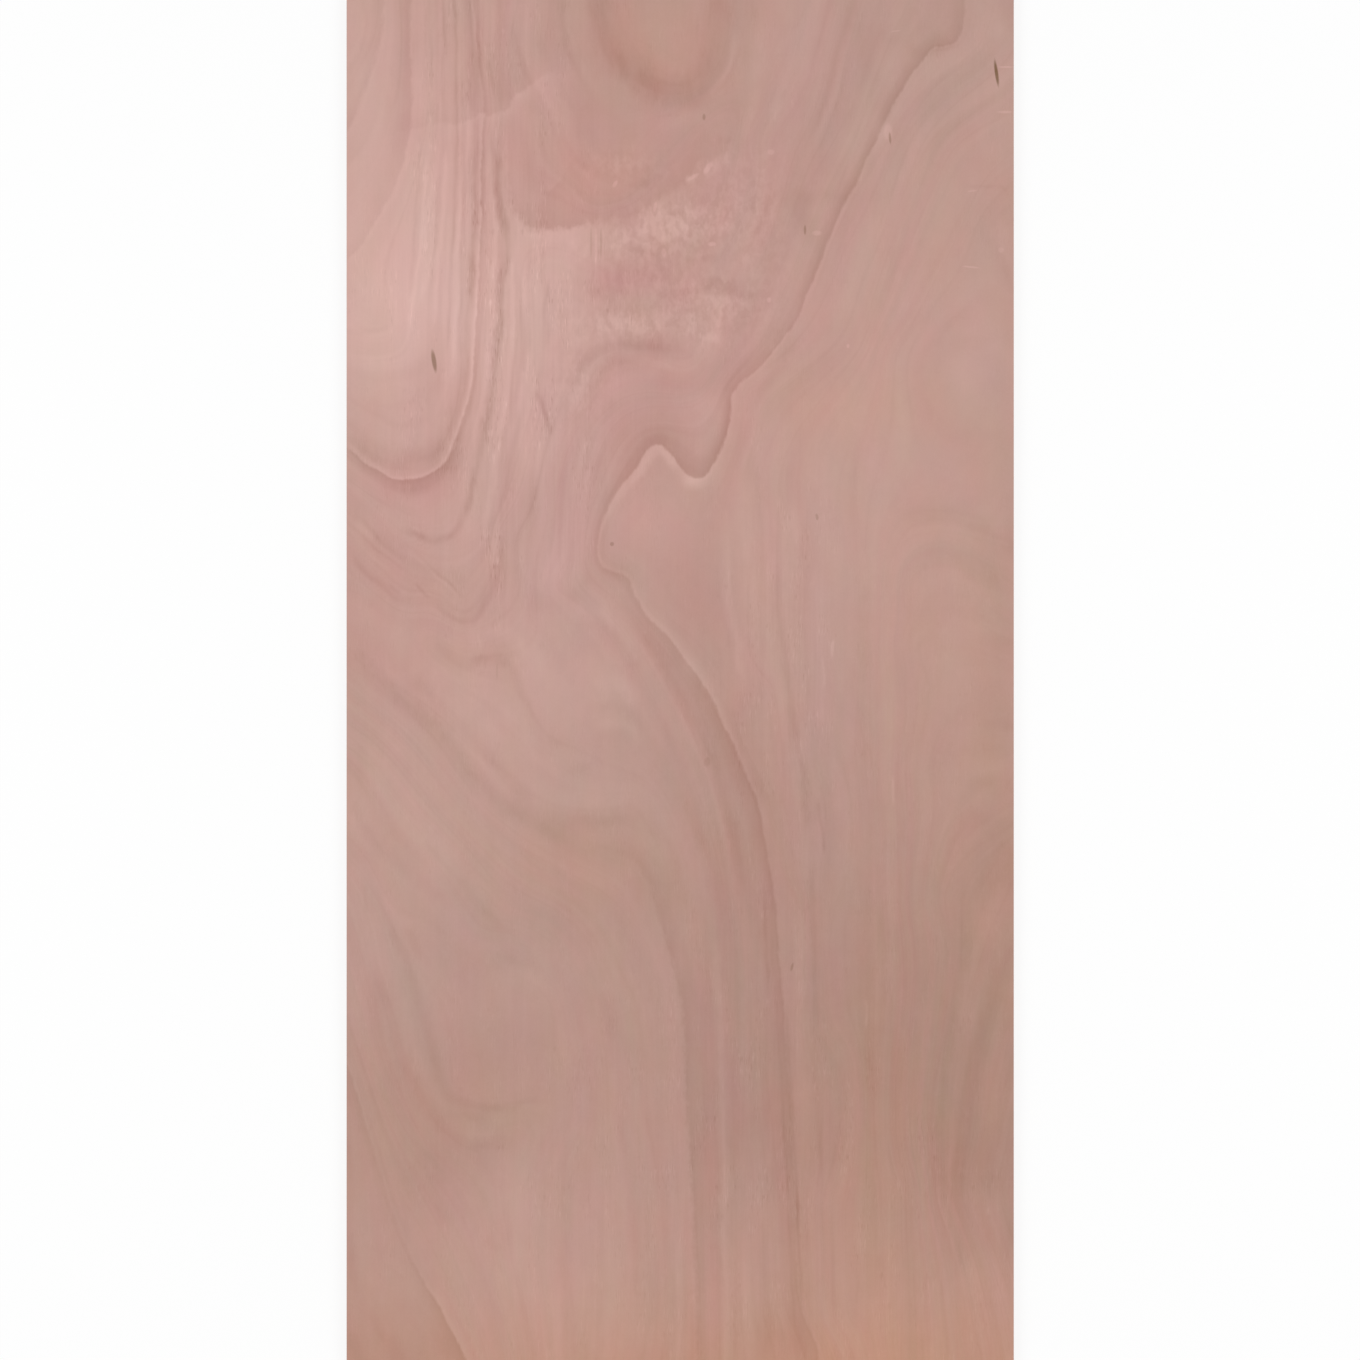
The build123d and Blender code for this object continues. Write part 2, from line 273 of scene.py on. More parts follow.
# Lines with soft sides, which are drawn broader and fainter than their figures say.
SOFT_LINES = [
    # The cup at the head, the lobe's own arcs, and the lines beside the ridge.
    line([(594, -20), (600, 20), (610, 44), (625, 64), (646, 79), (668, 88), (692, 87), (708, 70),
          (716, 44), (720, 19), (724, -20)], -0.12, 9.0, 90),
    line([(604, 36), (618, 60), (640, 80), (664, 94), (696, 98)], -0.06, 9.0, ends=25.0),
    line([(524, 128), (530, 165), (545, 196)], -0.03, 4.0),
    line([(542, 118), (543, 150), (556, 172), (574, 190), (597, 208)], -0.05, 3.0, 45),
    line([(560, 110), (568, 140), (588, 168), (622, 184)], -0.035, 3.5, 60),
    line([(765, -20), (758, 60), (750, 110), (742, 140)], 0.06, 5.0, 60),
    line([(860, -20), (849, 22), (836, 62), (829, 95), (812, 138)], -0.08, 3.4, 115),
    line([(888, 14), (872, 56), (857, 94)], -0.04, 4.0),
    line([(836, -20), (818, 60), (802, 120), (786, 175)], -0.03, 5.0),
    line([(768, 196), (763, 214), (757, 226), (750, 246), (738, 258)], -0.05, 3.2, 95, ends=12.0),
    line([(792, 222), (798, 204), (808, 200), (818, 214)], -0.06, 5.0, ends=10.0),
    line([(870, 194), (850, 216), (840, 238), (830, 268)], -0.045, 4.0),
    line([(878, 210), (862, 246), (850, 290), (828, 320)], 0.03, 8.0),
    line([(942, 150), (917, 215), (895, 275), (867, 350)], -0.04, 4.0, 235),
    line([(975, 190), (946, 245), (912, 310), (886, 352)], -0.035, 5.0, 275),
    line([(960, 170), (928, 235), (902, 296), (878, 345)], 0.03, 5.0, 255),
    line([(990, 228), (1000, 255), (1008, 274), (1018, 300)], -0.08, 4.0, 300),
    line([(836, 305), (806, 347), (778, 372), (748, 402), (738, 440)], 0.04, 6.0),
    line([(803, 330), (786, 356), (774, 374), (763, 390), (754, 408)], -0.07, 4.0),
    line([(852, 310), (818, 360), (789, 392), (775, 425), (768, 470)], -0.03, 6.0),
    line([(797, 450), (794, 478), (797, 505)], -0.05, 7.0),
    line([(768, 408), (764, 440), (762, 480)], 0.05, 9.0),
    # The arches over the peak and the lines that lead from them to the nose.
    line([(606, 348), (630, 346), (656, 348), (690, 351)], -0.07, 7.0, 76),
    line([(640, 381), (658, 380), (680, 385), (702, 379)], -0.06, 5.0, 104),
    line([(628, 369), (652, 367), (682, 366), (700, 362)], 0.06, 7.0),
    line([(606, 398), (616, 387), (632, 386)], 0.06, 6.0),
    line([(566, 470), (560, 490), (552, 500)], -0.05, 6.0),
    line([(582, 577), (588, 590)], -0.08, 7.0, ends=8.0),
    # The waves under the cathedral, and the long diagonal with the lines under it.
    line([(428, 660), (452, 678), (480, 684), (500, 700), (514, 726), (532, 752), (556, 764), (584, 762)],
         0.04, 6.0),
    line([(430, 638), (450, 656), (464, 664), (478, 662), (494, 657), (506, 661), (514, 676), (523, 698),
          (532, 716), (541, 732), (554, 743), (572, 747)], -0.07, 4.0, 95),
    line([(468, 664), (484, 661), (500, 661), (508, 668)], -0.08, 4.0, ends=10.0),
    line([(592, 734), (604, 726), (618, 723), (632, 730), (642, 744)], 0.07, 4.0, ends=10.0),
    line([(440, 648), (462, 640), (500, 630), (528, 650), (548, 690)], 0.07, 6.0),
    line([(466, 690), (490, 706), (506, 732), (528, 764), (560, 786), (596, 782)], -0.035, 5.0),
    line([(512, 612), (536, 624), (552, 648), (566, 676), (586, 690)], -0.04, 6.0),
    line([(344, 796), (362, 826), (384, 852), (408, 872), (430, 890), (452, 914)], -0.05, 4.0, -50),
    line([(352, 850), (372, 880), (398, 912), (430, 934)], 0.04, 5.0),
    line([(348, 900), (362, 940), (376, 980), (384, 1020)], -0.05, 4.0, -110),
    line([(362, 706), (378, 740), (398, 782)], -0.04, 6.0),
    line([(582, 716), (596, 708), (616, 706), (632, 714), (648, 738), (666, 768), (690, 815), (708, 870)],
         -0.065, 4.0, 105),
    line([(547, 762), (572, 770), (600, 760), (632, 768), (657, 790)], -0.04, 4.0),
    line([(516, 596), (532, 602), (548, 610)], -0.05, 7.0),
    line([(572, 598), (590, 611), (608, 626)], 0.11, 5.0, ends=12.0),
    line([(592, 688), (606, 682), (620, 682), (630, 694), (640, 708)], 0.06, 5.0, ends=12.0),
    line([(347, 606), (368, 612), (388, 630), (422, 664), (487, 722), (515, 740), (547, 780), (597, 800),
          (640, 797)], 0.05, 11.0, 80),
    line([(410, 676), (428, 692), (450, 716), (476, 742), (496, 766), (516, 788), (540, 807)], -0.06, 5.0),
    line([(452, 729), (474, 752), (498, 782), (520, 802)], 0.06, 3.0),
    line([(345, 640), (356, 652), (370, 668), (385, 682), (403, 697), (424, 714), (440, 729), (453, 745),
          (466, 765), (480, 780), (494, 795), (512, 808), (532, 820), (550, 831), (566, 837), (582, 840)],
         -0.085, 6.5, 65),
    line([(532, 806), (550, 815), (568, 822), (600, 820), (630, 816), (648, 828), (664, 842), (674, 860),
          (680, 890), (690, 925)], -0.06, 6.0),
    line([(518, 850), (545, 862), (575, 876), (604, 890)], 0.05, 4.0),
    line([(424, 838), (440, 856), (455, 873), (467, 889), (478, 903), (487, 916), (500, 922), (514, 925)],
         -0.10, 4.0, -25),
    line([(340, 780), (362, 820), (380, 860)], -0.05, 4.0, -60),
    line([(350, 760), (385, 800), (420, 832), (455, 868)], 0.03, 7.0),
    # The ridge's own shadows: one close on its right, and fainter ones on its left.
    line([(716, 690), (726, 708), (736, 736), (748, 762), (760, 790), (767, 820)], -0.10, 4.0, 182),
    line([(690, 765), (700, 808), (711, 848), (720, 890)], 0.04, 5.0),
    line([(592, 602), (614, 626), (638, 660)], 0.13, 4.0),
    line([(634, 620), (655, 652), (676, 688), (697, 727), (713, 766), (726, 806), (737, 852), (745, 900)],
         -0.10, 4.4, 148),
    line([(557, 582), (597, 618), (635, 668), (664, 722), (692, 782), (710, 840), (722, 900), (730, 960)],
         -0.045, 6.0, 115),
    line([(620, 672), (650, 722), (678, 785), (696, 845), (703, 900)], 0.03, 5.0),
    line([(760, 915), (761, 940), (762, 968)], -0.04, 4.0, ends=12.0),
    # The streaks of the right half.
    line([(777, 560), (779, 605), (784, 645), (789, 690), (795, 725), (800, 756)], -0.10, 3.0, 228),
    line([(798, 748), (803, 778), (806, 808), (809, 842)], -0.09, 3.0),
    line([(812, 860), (813, 910), (815, 960), (817, 1000), (817, 1030)], -0.08, 2.8, 228),
    line([(781, 685), (785, 725), (789, 765)], 0.06, 3.0, 210),
    line([(795, 495), (796, 540), (795, 580)], 0.09, 3.0),
    line([(808, 590), (810, 640), (812, 690)], 0.06, 2.6),
    line([(820, 810), (820, 900)], 0.05, 3.4),
    line([(770, 500), (769, 580), (775, 650), (785, 720)], 0.05, 4.0),
    line([(789, 500), (787, 600), (792, 680), (805, 760)], 0.06, 4.0),
    line([(743, 470), (745, 540), (750, 610)], 0.06, 6.0, 205),
    line([(815, 560), (817, 650), (822, 740)], 0.05, 4.0, 247),
    line([(842, 540), (838, 640), (840, 760)], 0.03, 7.0, 260),
    line([(864, 575), (861, 665), (861, 740), (866, 830), (868, 920), (868, 1030), (870, 1100),
          (872, 1190), (875, 1300)], -0.05, 5.0, 275),
    line([(890, 850), (891, 920), (893, 990)], 0.05, 5.0),
    line([(906, 516), (932, 513), (956, 514), (976, 522)], -0.065, 6.0, 310),
    line([(902, 578), (912, 566), (928, 555), (952, 554), (974, 564), (992, 578), (1012, 600)],
         -0.05, 6.0, 345),
    line([(905, 606), (935, 582), (965, 582), (1005, 618)], 0.03, 6.0),
    line([(912, 645), (937, 630), (962, 626), (995, 638)], 0.03, 6.0, 370),
    line([(927, 770), (942, 725), (972, 702)], -0.035, 5.0, 390),
    line([(982, 722), (1000, 725), (1016, 732)], -0.06, 4.0, ends=10.0),
    line([(930, 900), (946, 832), (976, 788), (1020, 765)], -0.02, 6.0, 410),
    line([(942, 850), (958, 820), (982, 800), (1006, 792)], 0.04, 5.0),
    line([(717, 935), (719, 985), (721, 1040), (723, 1105), (725, 1160), (725, 1230), (726, 1300),
          (727, 1380)], 0.11, 3.6, 104),
    line([(739, 1010), (739, 1090), (740, 1160), (740, 1220)], 0.05, 3.0),
    line([(732, 1080), (733, 1130), (733, 1180)], -0.05, 3.0),
    line([(695, 995), (696, 1060), (697, 1135)], 0.05, 3.0),
    line([(900, 970), (901, 1060)], 0.05, 4.0),
    line([(799, 900), (801, 960), (802, 1040), (804, 1130)], 0.07, 4.0, 180),
    line([(867, 1040), (870, 1080)], -0.05, 4.0),
    line([(1020, 832), (994, 858), (977, 885), (968, 915), (964, 950), (957, 990), (950, 1035),
          (943, 1080), (938, 1130), (941, 1200)], -0.06, 5.0, 440),
    line([(992, 895), (982, 930), (968, 975), (958, 1040)], 0.04, 7.0),
    line([(1014, 942), (1001, 968), (991, 1000), (982, 1035), (975, 1070), (969, 1110), (966, 1145)],
         -0.035, 6.0, 480, ends=50.0),
    line([(996, 952), (984, 984), (974, 1020), (967, 1060)], 0.04, 4.0),
    # The streaks at the foot.
    line([(588, 1200), (590, 1280), (592, 1375)], 0.06, 4.0),
    line([(610, 1220), (612, 1310), (613, 1375)], 0.03, 5.0),
    line([(585, 1262), (586, 1330)], 0.06, 3.0),
    line([(560, 1265), (559, 1375)], 0.05, 3.0),
    line([(655, 1230), (657, 1310), (658, 1375)], -0.03, 4.0),
    line([(679, 1190), (681, 1310)], 0.04, 3.0),
    line([(745, 1230), (747, 1310), (748, 1380)], 0.05, 6.0),
    line([(763, 1220), (766, 1300), (772, 1380)], -0.06, 3.6),
    line([(830, 1200), (832, 1280), (834, 1320)], -0.06, 3.0, 235),
    line([(905, 1190), (906, 1300), (907, 1380)], -0.03, 6.0, 320),
    # The swirl at the lower left, the corner under it and the streaks beside it.
    line([(372, 958), (382, 988), (392, 1012), (399, 1042), (408, 1068), (418, 1088), (428, 1108),
          (442, 1126), (464, 1140), (492, 1144), (522, 1136)], -0.07, 6.0, -95),
    line([(370, 884), (382, 908), (394, 934), (405, 960), (414, 982), (420, 1004), (428, 1030),
          (435, 1058), (442, 1084), (455, 1100), (478, 1108), (506, 1107), (535, 1101), (560, 1104)],
         -0.075, 3.4, -75, ends=60.0),
    line([(440, 1098), (454, 1113), (478, 1119), (502, 1118)], -0.09, 3.4),
    line([(462, 1132), (480, 1136), (500, 1134)], 0.07, 5.0, ends=10.0),
    line([(702, 930), (704, 1000), (706, 1120), (712, 1250), (716, 1380)], -0.03, 11.0),
    line([(395, 985), (410, 1036), (426, 1080), (450, 1112), (480, 1122), (520, 1118)], 0.04, 4.0, -85),
    line([(392, 900), (412, 950), (430, 1006), (446, 1056)], 0.03, 5.0),
    line([(402, 922), (413, 944), (421, 964)], -0.08, 4.0, ends=12.0),
    line([(664, 915), (673, 945), (685, 985)], 0.06, 4.0),
    line([(508, 930), (528, 944), (546, 958), (556, 974)], 0.07, 5.0, -40),
    line([(486, 972), (512, 974), (534, 984), (552, 1000)], 0.07, 5.5, -60),
    line([(480, 958), (510, 960), (536, 966)], -0.04, 5.0),
    line([(350, 1228), (351, 1258), (356, 1282), (363, 1302)], -0.09, 4.0, -215),
    line([(366, 1306), (380, 1328), (396, 1352), (410, 1376)], -0.07, 5.0, -215),
    line([(405, 1158), (406, 1200)], -0.05, 5.0),
    line([(412, 1206), (440, 1212), (462, 1222)], -0.05, 6.0),
    line([(484, 1234), (500, 1254)], -0.05, 4.0, ends=8.0),
    line([(568, 1160), (566, 1260), (572, 1380)], -0.06, 5.0, -40),
    line([(596, 984), (607, 1004), (614, 1032), (618, 1060)], -0.06, 6.0, 0),
    line([(618, 1110), (630, 1180), (638, 1300)], -0.045, 3.5, 0),
    line([(560, 1010), (580, 1070), (590, 1140)], 0.03, 6.0),
]
# How much broader and fainter the soft lines are drawn.
SOFT_SPREAD = 1.5
SOFT_SHARE = 0.72
LINES = CRISP_LINES + [{**drawn, "width": drawn["width"] * SOFT_SPREAD, "tone": drawn["tone"] * SOFT_SHARE}
                       for drawn in SOFT_LINES]

# Clouds of tone: place and reach in pixels, and how much paler or darker the face is there.
TONE_CLOUDS = [
    # The large clouds: paler at the upper left, darker towards the lower right, and darker along the whole
    # foot.
    (390, 270, 130, 230, 0.30), (370, 40, 90, 120, 0.08), (365, 110, 46, 100, 0.05),
    (494, 290, 22, 100, -0.04), (540, 330, 110, 180, 0.16), (900, 330, 160, 200, 0.06),
    (780, 520, 120, 110, 0.06), (520, 680, 140, 120, 0.08), (400, 800, 120, 140, 0.04),
    (740, 830, 60, 110, -0.06), (940, 1060, 260, 250, -0.22), (1000, 610, 30, 100, -0.06),
    (725, 1040, 45, 150, -0.05), (400, 1110, 130, 120, -0.10), (866, 1170, 40, 120, 0.03),
    (540, 1260, 120, 90, 0.05), (680, 1385, 500, 45, -0.07),
    # The head.
    (1000, 85, 46, 66, 0.06), (545, 45, 45, 40, 0.04), (562, 84, 30, 20, 0.04), (640, 40, 90, 70, -0.05),
    (668, 30, 30, 34, 0.05), (670, 118, 50, 12, 0.05), (757, 12, 12, 22, -0.07), (870, 70, 13, 42, -0.06),
    (1001, 30, 10, 16, 0.08), (566, 74, 18, 14, 0.05), (505, 108, 9, 8, 0.07), (522, 94, 10, 6, 0.06),
    (930, 20, 40, 36, -0.05), (795, 20, 50, 90, 0.07), (420, 126, 16, 12, -0.06), (414, 46, 7, 18, -0.07),
    (890, 40, 14, 12, -0.05), (880, 132, 8, 14, 0.10), (914, 52, 8, 7, -0.06), (700, 104, 14, 8, -0.05),
    (469, 112, 5, 10, 0.06), (500, 8, 70, 24, 0.05),
    # The lobe, the torn wood and the upper ridge, and the wood right of it.
    (985, 335, 40, 60, 0.05), (690, 330, 34, 20, 0.05), (552, 290, 50, 56, 0.10), (500, 215, 16, 40, -0.05),
    (832, 170, 15, 20, -0.06), (807, 224, 10, 17, -0.11), (920, 160, 18, 32, 0.05),
    (1003, 242, 9, 20, 0.09), (575, 206, 24, 22, 0.05), (587, 288, 14, 12, -0.06),
    (614, 282, 24, 18, -0.05), (558, 312, 7, 12, -0.07), (580, 342, 10, 10, 0.06), (618, 340, 16, 7, 0.06),
    (703, 345, 24, 18, 0.08), (745, 160, 30, 22, 0.04), (690, 226, 46, 26, 0.07), (742, 228, 26, 40, 0.04),
    (830, 196, 44, 9, -0.06), (540, 215, 14, 16, -0.04), (636, 326, 22, 7, 0.08), (625, 307, 28, 7, -0.06),
    (700, 284, 60, 28, 0.05), (742, 196, 30, 30, 0.04), (560, 165, 22, 26, -0.04),
    # The cathedral.
    (385, 305, 80, 60, 0.13), (432, 370, 26, 30, -0.05), (440, 462, 30, 18, -0.08),
    (465, 565, 26, 14, 0.06), (366, 528, 14, 12, 0.06), (492, 546, 10, 14, 0.06), (420, 491, 36, 9, -0.05),
    (475, 500, 26, 40, 0.05), (432, 400, 22, 30, -0.05),
    # The peak, the notch and the nose, and the wood on either side of them.
    (535, 400, 34, 60, 0.07), (555, 555, 26, 36, 0.06), (960, 365, 18, 30, 0.05), (670, 398, 50, 8, 0.05),
    (778, 420, 10, 24, 0.05), (965, 385, 24, 32, 0.05), (655, 408, 26, 40, -0.04), (697, 408, 22, 18, 0.05),
    (655, 433, 22, 12, -0.04), (694, 605, 42, 70, -0.06), (655, 520, 36, 26, 0.06),
    (614, 573, 22, 18, -0.07), (694, 484, 11, 6, 0.11), (532, 506, 8, 24, -0.08), (540, 604, 16, 12, -0.05),
    (603, 543, 6, 14, -0.05), (1012, 548, 6, 10, -0.07), (990, 525, 24, 24, -0.03), (997, 527, 9, 8, 0.07),
    (612, 500, 12, 16, -0.04), (690, 480, 8, 5, 0.10), (992, 514, 14, 10, 0.06), (530, 458, 18, 22, 0.06),
    (562, 575, 14, 24, 0.06), (527, 622, 22, 24, 0.05), (622, 440, 14, 22, -0.05),
    # The middle, with its waves and the long ridge.
    (790, 726, 10, 34, -0.05), (415, 686, 10, 8, -0.06), (985, 782, 16, 6, -0.06), (555, 690, 70, 50, 0.04),
    (995, 685, 20, 40, -0.03), (600, 818, 46, 14, -0.05), (990, 752, 36, 14, -0.05),
    (988, 822, 16, 12, -0.05), (505, 718, 18, 14, 0.05), (980, 630, 22, 10, 0.05),
    (360, 760, 14, 50, -0.04), (436, 866, 20, 22, 0.04), (358, 815, 10, 26, 0.05), (614, 686, 26, 13, 0.02),
    (687, 670, 9, 12, 0.08), (475, 705, 26, 18, 0.04), (502, 660, 14, 14, -0.04), (556, 745, 20, 12, -0.03),
    (620, 735, 18, 12, -0.04), (440, 655, 16, 12, -0.03), (575, 640, 14, 20, -0.03),
    (590, 880, 90, 60, -0.04), (586, 852, 34, 14, -0.03), (655, 892, 28, 34, -0.03),
    (1015, 800, 60, 90, -0.05), (1008, 870, 26, 22, -0.06),
    # The lower half, with its swirl and streaks.
    (494, 1126, 34, 18, -0.03), (565, 915, 18, 22, -0.04), (594, 938, 14, 12, -0.05),
    (540, 1050, 80, 60, -0.03), (366, 965, 12, 40, 0.05), (926, 1148, 5, 44, 0.05),
    (578, 1075, 7, 22, -0.07), (670, 945, 7, 18, -0.07), (1014, 1070, 12, 70, -0.03),
    (440, 1165, 40, 24, -0.04), (494, 945, 50, 40, -0.03), (757, 1120, 34, 46, -0.05),
    (980, 1155, 40, 40, -0.06),
    # The foot.
    (740, 1250, 6, 46, 0.05), (432, 1340, 24, 24, -0.04), (960, 1250, 5, 26, -0.06),
    (992, 1180, 8, 16, -0.06), (515, 1260, 8, 28, 0.06), (1010, 1240, 9, 34, -0.09),
    (962, 1180, 8, 22, -0.05), (770, 1330, 22, 26, -0.09), (772, 1185, 10, 26, -0.05),
    (860, 1235, 10, 40, 0.05), (694, 1340, 5, 32, -0.09), (795, 1345, 12, 24, -0.10),
    (350, 1350, 12, 18, -0.06), (515, 1195, 26, 36, 0.06), (985, 1275, 34, 34, 0.05),
    (350, 1360, 90, 60, -0.10),
]

# Where the wood is rosy, and where it is olive: place and reach in pixels, and how much.
ROSY_CLOUDS = [
    (600, 150, 110, 80, 1.2), (565, 196, 60, 34, 0.8), (655, 282, 70, 26, 1.6), (612, 284, 26, 20, 1.6),
    (650, 400, 90, 70, 1.4), (750, 370, 60, 70, 0.8), (412, 484, 50, 26, 2.0), (430, 405, 30, 40, 0.8),
    (458, 400, 16, 50, 0.9), (640, 350, 50, 14, 0.8), (725, 180, 40, 30, 0.6), (430, 240, 120, 190, 0.5),
    (550, 480, 55, 170, 1.0), (440, 560, 70, 60, 0.8), (640, 515, 60, 50, 0.8), (745, 180, 34, 44, 1.0),
    (800, 90, 60, 120, 0.5), (900, 60, 110, 90, -0.5), (930, 360, 90, 50, 0.6), (980, 640, 50, 90, -0.5),
    (460, 70, 110, 90, 0.6), (480, 960, 150, 100, -0.4), (610, 245, 70, 50, 0.6), (870, 300, 50, 50, 0.4),
    (370, 560, 60, 80, 0.5), (650, 40, 60, 40, 0.2), (640, 880, 460, 220, -0.4), (735, 850, 36, 120, 0.2),
    (690, 225, 50, 36, 0.5), (400, 250, 60, 60, 0.5), (680, 640, 30, 60, 0.8), (830, 550, 70, 80, 0.4),
    (420, 690, 90, 40, 0.5), (804, 1208, 20, 30, -0.6), (494, 1206, 26, 24, -0.6),
    (990, 1252, 24, 24, -0.6), (990, 108, 24, 24, -0.5), (705, 1200, 16, 200, 0.4),
    (960, 1050, 130, 170, -1.0), (370, 1150, 60, 80, -0.5), (540, 1140, 70, 60, -0.5),
]

# Where the wood is amber, and where it is mauve: place and reach in pixels, and how much.
AMBER_CLOUDS = [
    (680, 1400, 500, 110, 1.2), (920, 1370, 140, 100, 0.6), (668, 40, 70, 60, 0.5), (590, 175, 60, 40, 0.4),
    (870, 410, 100, 40, 0.4), (985, 375, 30, 50, -0.3), (960, 620, 100, 140, 0.15),
    (640, 770, 70, 120, -0.15), (850, 1190, 190, 110, 0.28), (1000, 900, 70, 180, 0.3),
    (872, 1110, 40, 200, 0.3), (820, 720, 22, 220, -0.25), (555, 560, 50, 200, -0.3),
    (440, 280, 90, 90, -0.1), (595, 860, 90, 46, 0.4), (450, 960, 110, 80, -0.25), (430, 1120, 90, 70, 0.2),
    (730, 1120, 50, 110, -0.15), (880, 50, 160, 90, -0.2),
]

# Where the rings show more or less than elsewhere: place and reach in pixels, and how much.
RING_CLOUDS = [
    (450, 280, 160, 300, 1.2), (650, 410, 110, 100, -0.1), (650, 285, 90, 42, -1.5),
    (630, 150, 90, 60, -0.5), (660, 20, 60, 60, -0.8), (880, 120, 130, 150, 0.2), (940, 560, 90, 90, -0.4),
    (920, 680, 110, 130, -0.4), (660, 545, 55, 80, -0.8), (600, 1040, 300, 240, -0.55),
]

# Where the fibres show, more or less than elsewhere: place and reach in pixels, and how much.
FIBRE_CLOUDS = [
    (470, 230, 110, 260, 1.6), (540, 420, 70, 120, 1.2), (497, 555, 16, 60, 1.6), (597, 242, 10, 26, 2.4),
    (640, 320, 90, 26, 0.9), (785, 640, 50, 150, 1.2), (740, 1000, 60, 160, 0.5),
    (690, 1200, 200, 160, 0.55), (900, 1180, 110, 180, 0.3), (920, 420, 120, 200, -0.3),
    (380, 120, 50, 150, -0.8), (630, 150, 90, 60, -0.3),
]

# Ragged patches, pale and then dark: place and reach in pixels, and how much of the patch is filled.
PALE_PATCHES = [
    (647, 226, 10, 16, 1.3), (668, 222, 16, 20, 1.4), (690, 218, 10, 16, 0.8), (711, 233, 10, 8, 0.8),
    (728, 226, 10, 8, 0.5), (618, 244, 9, 16, 1.1), (640, 238, 14, 9, 0.9), (668, 322, 12, 10, 0.9),
    (738, 308, 16, 9, 0.8), (708, 168, 12, 9, 1.5), (691, 179, 8, 5, 1.1), (727, 158, 8, 8, 0.7),
    (768, 152, 8, 5, 0.7), (750, 262, 9, 18, 0.8), (605, 322, 34, 11, 0.9), (640, 320, 20, 12, 0.8),
    (718, 304, 18, 12, 1.2), (712, 334, 20, 14, 0.9), (690, 322, 5, 14, 0.9), (610, 162, 14, 10, 0.6),
    (638, 160, 8, 10, 0.6), (665, 172, 8, 8, 0.6), (575, 250, 26, 18, 0.6),
]
DARK_PATCHES = [
    (622, 282, 26, 22, 0.9), (600, 295, 18, 9, 0.6), (720, 287, 18, 8, 1.8), (668, 276, 32, 18, 0.8),
    (678, 293, 20, 5, 0.8), (648, 254, 16, 8, 0.6), (700, 258, 26, 9, 0.6), (748, 295, 14, 6, 0.6),
    (640, 184, 26, 8, 0.6), (752, 206, 10, 14, 0.7), (725, 140, 22, 9, 0.6),
]

# Where the veneer is torn into flakes: place and reach in pixels, and how much.
TORN_CLOUDS = [
    (690, 222, 62, 30, 0.9), (640, 245, 46, 26, 0.6), (700, 308, 58, 34, 0.8), (618, 325, 46, 15, 0.8),
    (745, 180, 34, 34, 0.45), (625, 165, 40, 14, 0.6), (578, 385, 26, 44, 0.5), (770, 260, 26, 60, 0.25),
]

# Gum pockets, slits, flecks and scratches: place, half width and half length in pixels, lean in
# degrees, and how much darker or paler than the wood.
MARKS = {
    "gum pocket": (434, 361, 2.4, 11.5, 9.0, -0.60),
    "edge slit": (996.5, 73, 1.8, 13.5, 8.0, -0.68),
    "ringed fleck": (890, 138, 1.3, 6.0, 5.0, -0.34),
    "fleck by the cup": (704, 117, 1.6, 3.4, 0.0, -0.27),
    "fleck by the ridge": (805, 230, 1.3, 5.0, 0.0, -0.30),
    "fleck right of the notch": (817, 517, 1.6, 3.6, 10.0, -0.22),
    "spot under the peak": (612, 544, 2.2, 2.2, 0.0, -0.30),
    "fleck on the shadow": (707, 762, 3.5, 5.0, -15.0, -0.10),
    "fleck by the wave": (497, 672, 1.0, 8.0, 0.0, -0.08),
    "fleck in the streaks": (792, 967, 1.4, 4.5, -15.0, -0.20),
    "scratch by the slit": (1006, 67, 8.0, 0.8, 0.0, 0.18),
    "scratch under the slit": (1005, 112, 8.0, 1.4, 0.0, 0.14),
    "scratch at the head": (896, 31, 5.0, 0.8, 8.0, 0.10),
    "scratch on the right": (971, 267, 9.0, 1.0, -6.0, 0.14),
    "small scratch": (972, 191, 5.0, 1.0, 8.0, 0.10),
    "halo of the ringed fleck": (888, 132, 4.5, 9.0, 0.0, 0.12),
    "pale fleck by the ridge": (817, 233, 5.0, 2.6, 0.0, 0.13),
    "pale fleck over the torn wood": (615, 184, 2.0, 4.0, -30.0, 0.16),
    "long fleck over the torn wood": (655, 207, 1.8, 5.5, -12.0, 0.14),
    "bright fleck in the torn wood": (712, 244, 4.6, 2.4, 0.0, 0.16),
    "fleck in the torn wood": (664, 253, 2.6, 5.0, 8.0, 0.14),
    "tear": (708, 168, 3.0, 7.5, -35.0, 0.15),
    "tail of the tear": (693, 177, 2.0, 7.0, -60.0, 0.12),
    "left dash under the lobe": (591, 243, 1.2, 16.0, 0.0, -0.15),
    "pale dash under the lobe": (596, 246, 1.3, 20.0, 0.0, 0.14),
    "right dash under the lobe": (601, 242, 1.2, 15.0, 0.0, -0.14),
    "fleck on the right edge": (1001, 250, 3.0, 3.0, 0.0, 0.10),
    "fleck beside the notch": (848, 346, 1.6, 2.2, 0.0, 0.14),
    "fleck by the lobe": (771, 152, 4.0, 3.0, 0.0, 0.09),
    "small fleck by the ridge": (769, 300, 2.4, 2.8, 0.0, 0.14),
}


# How a tone fades: the power of its falling off, how far an edge's tone is carried past its own side,
# in pixels and in the edge's softness, and how wide and how soft a line's zone is.
FADE_POWER = 1.8
EDGE_GUARD_PX = 4
EDGE_GUARD_SOFTS = 3
LINE_ZONE_WIDTHS = 2.2
LINE_ZONE_PX = 5
LINE_ZONE_FADE_PX = 4
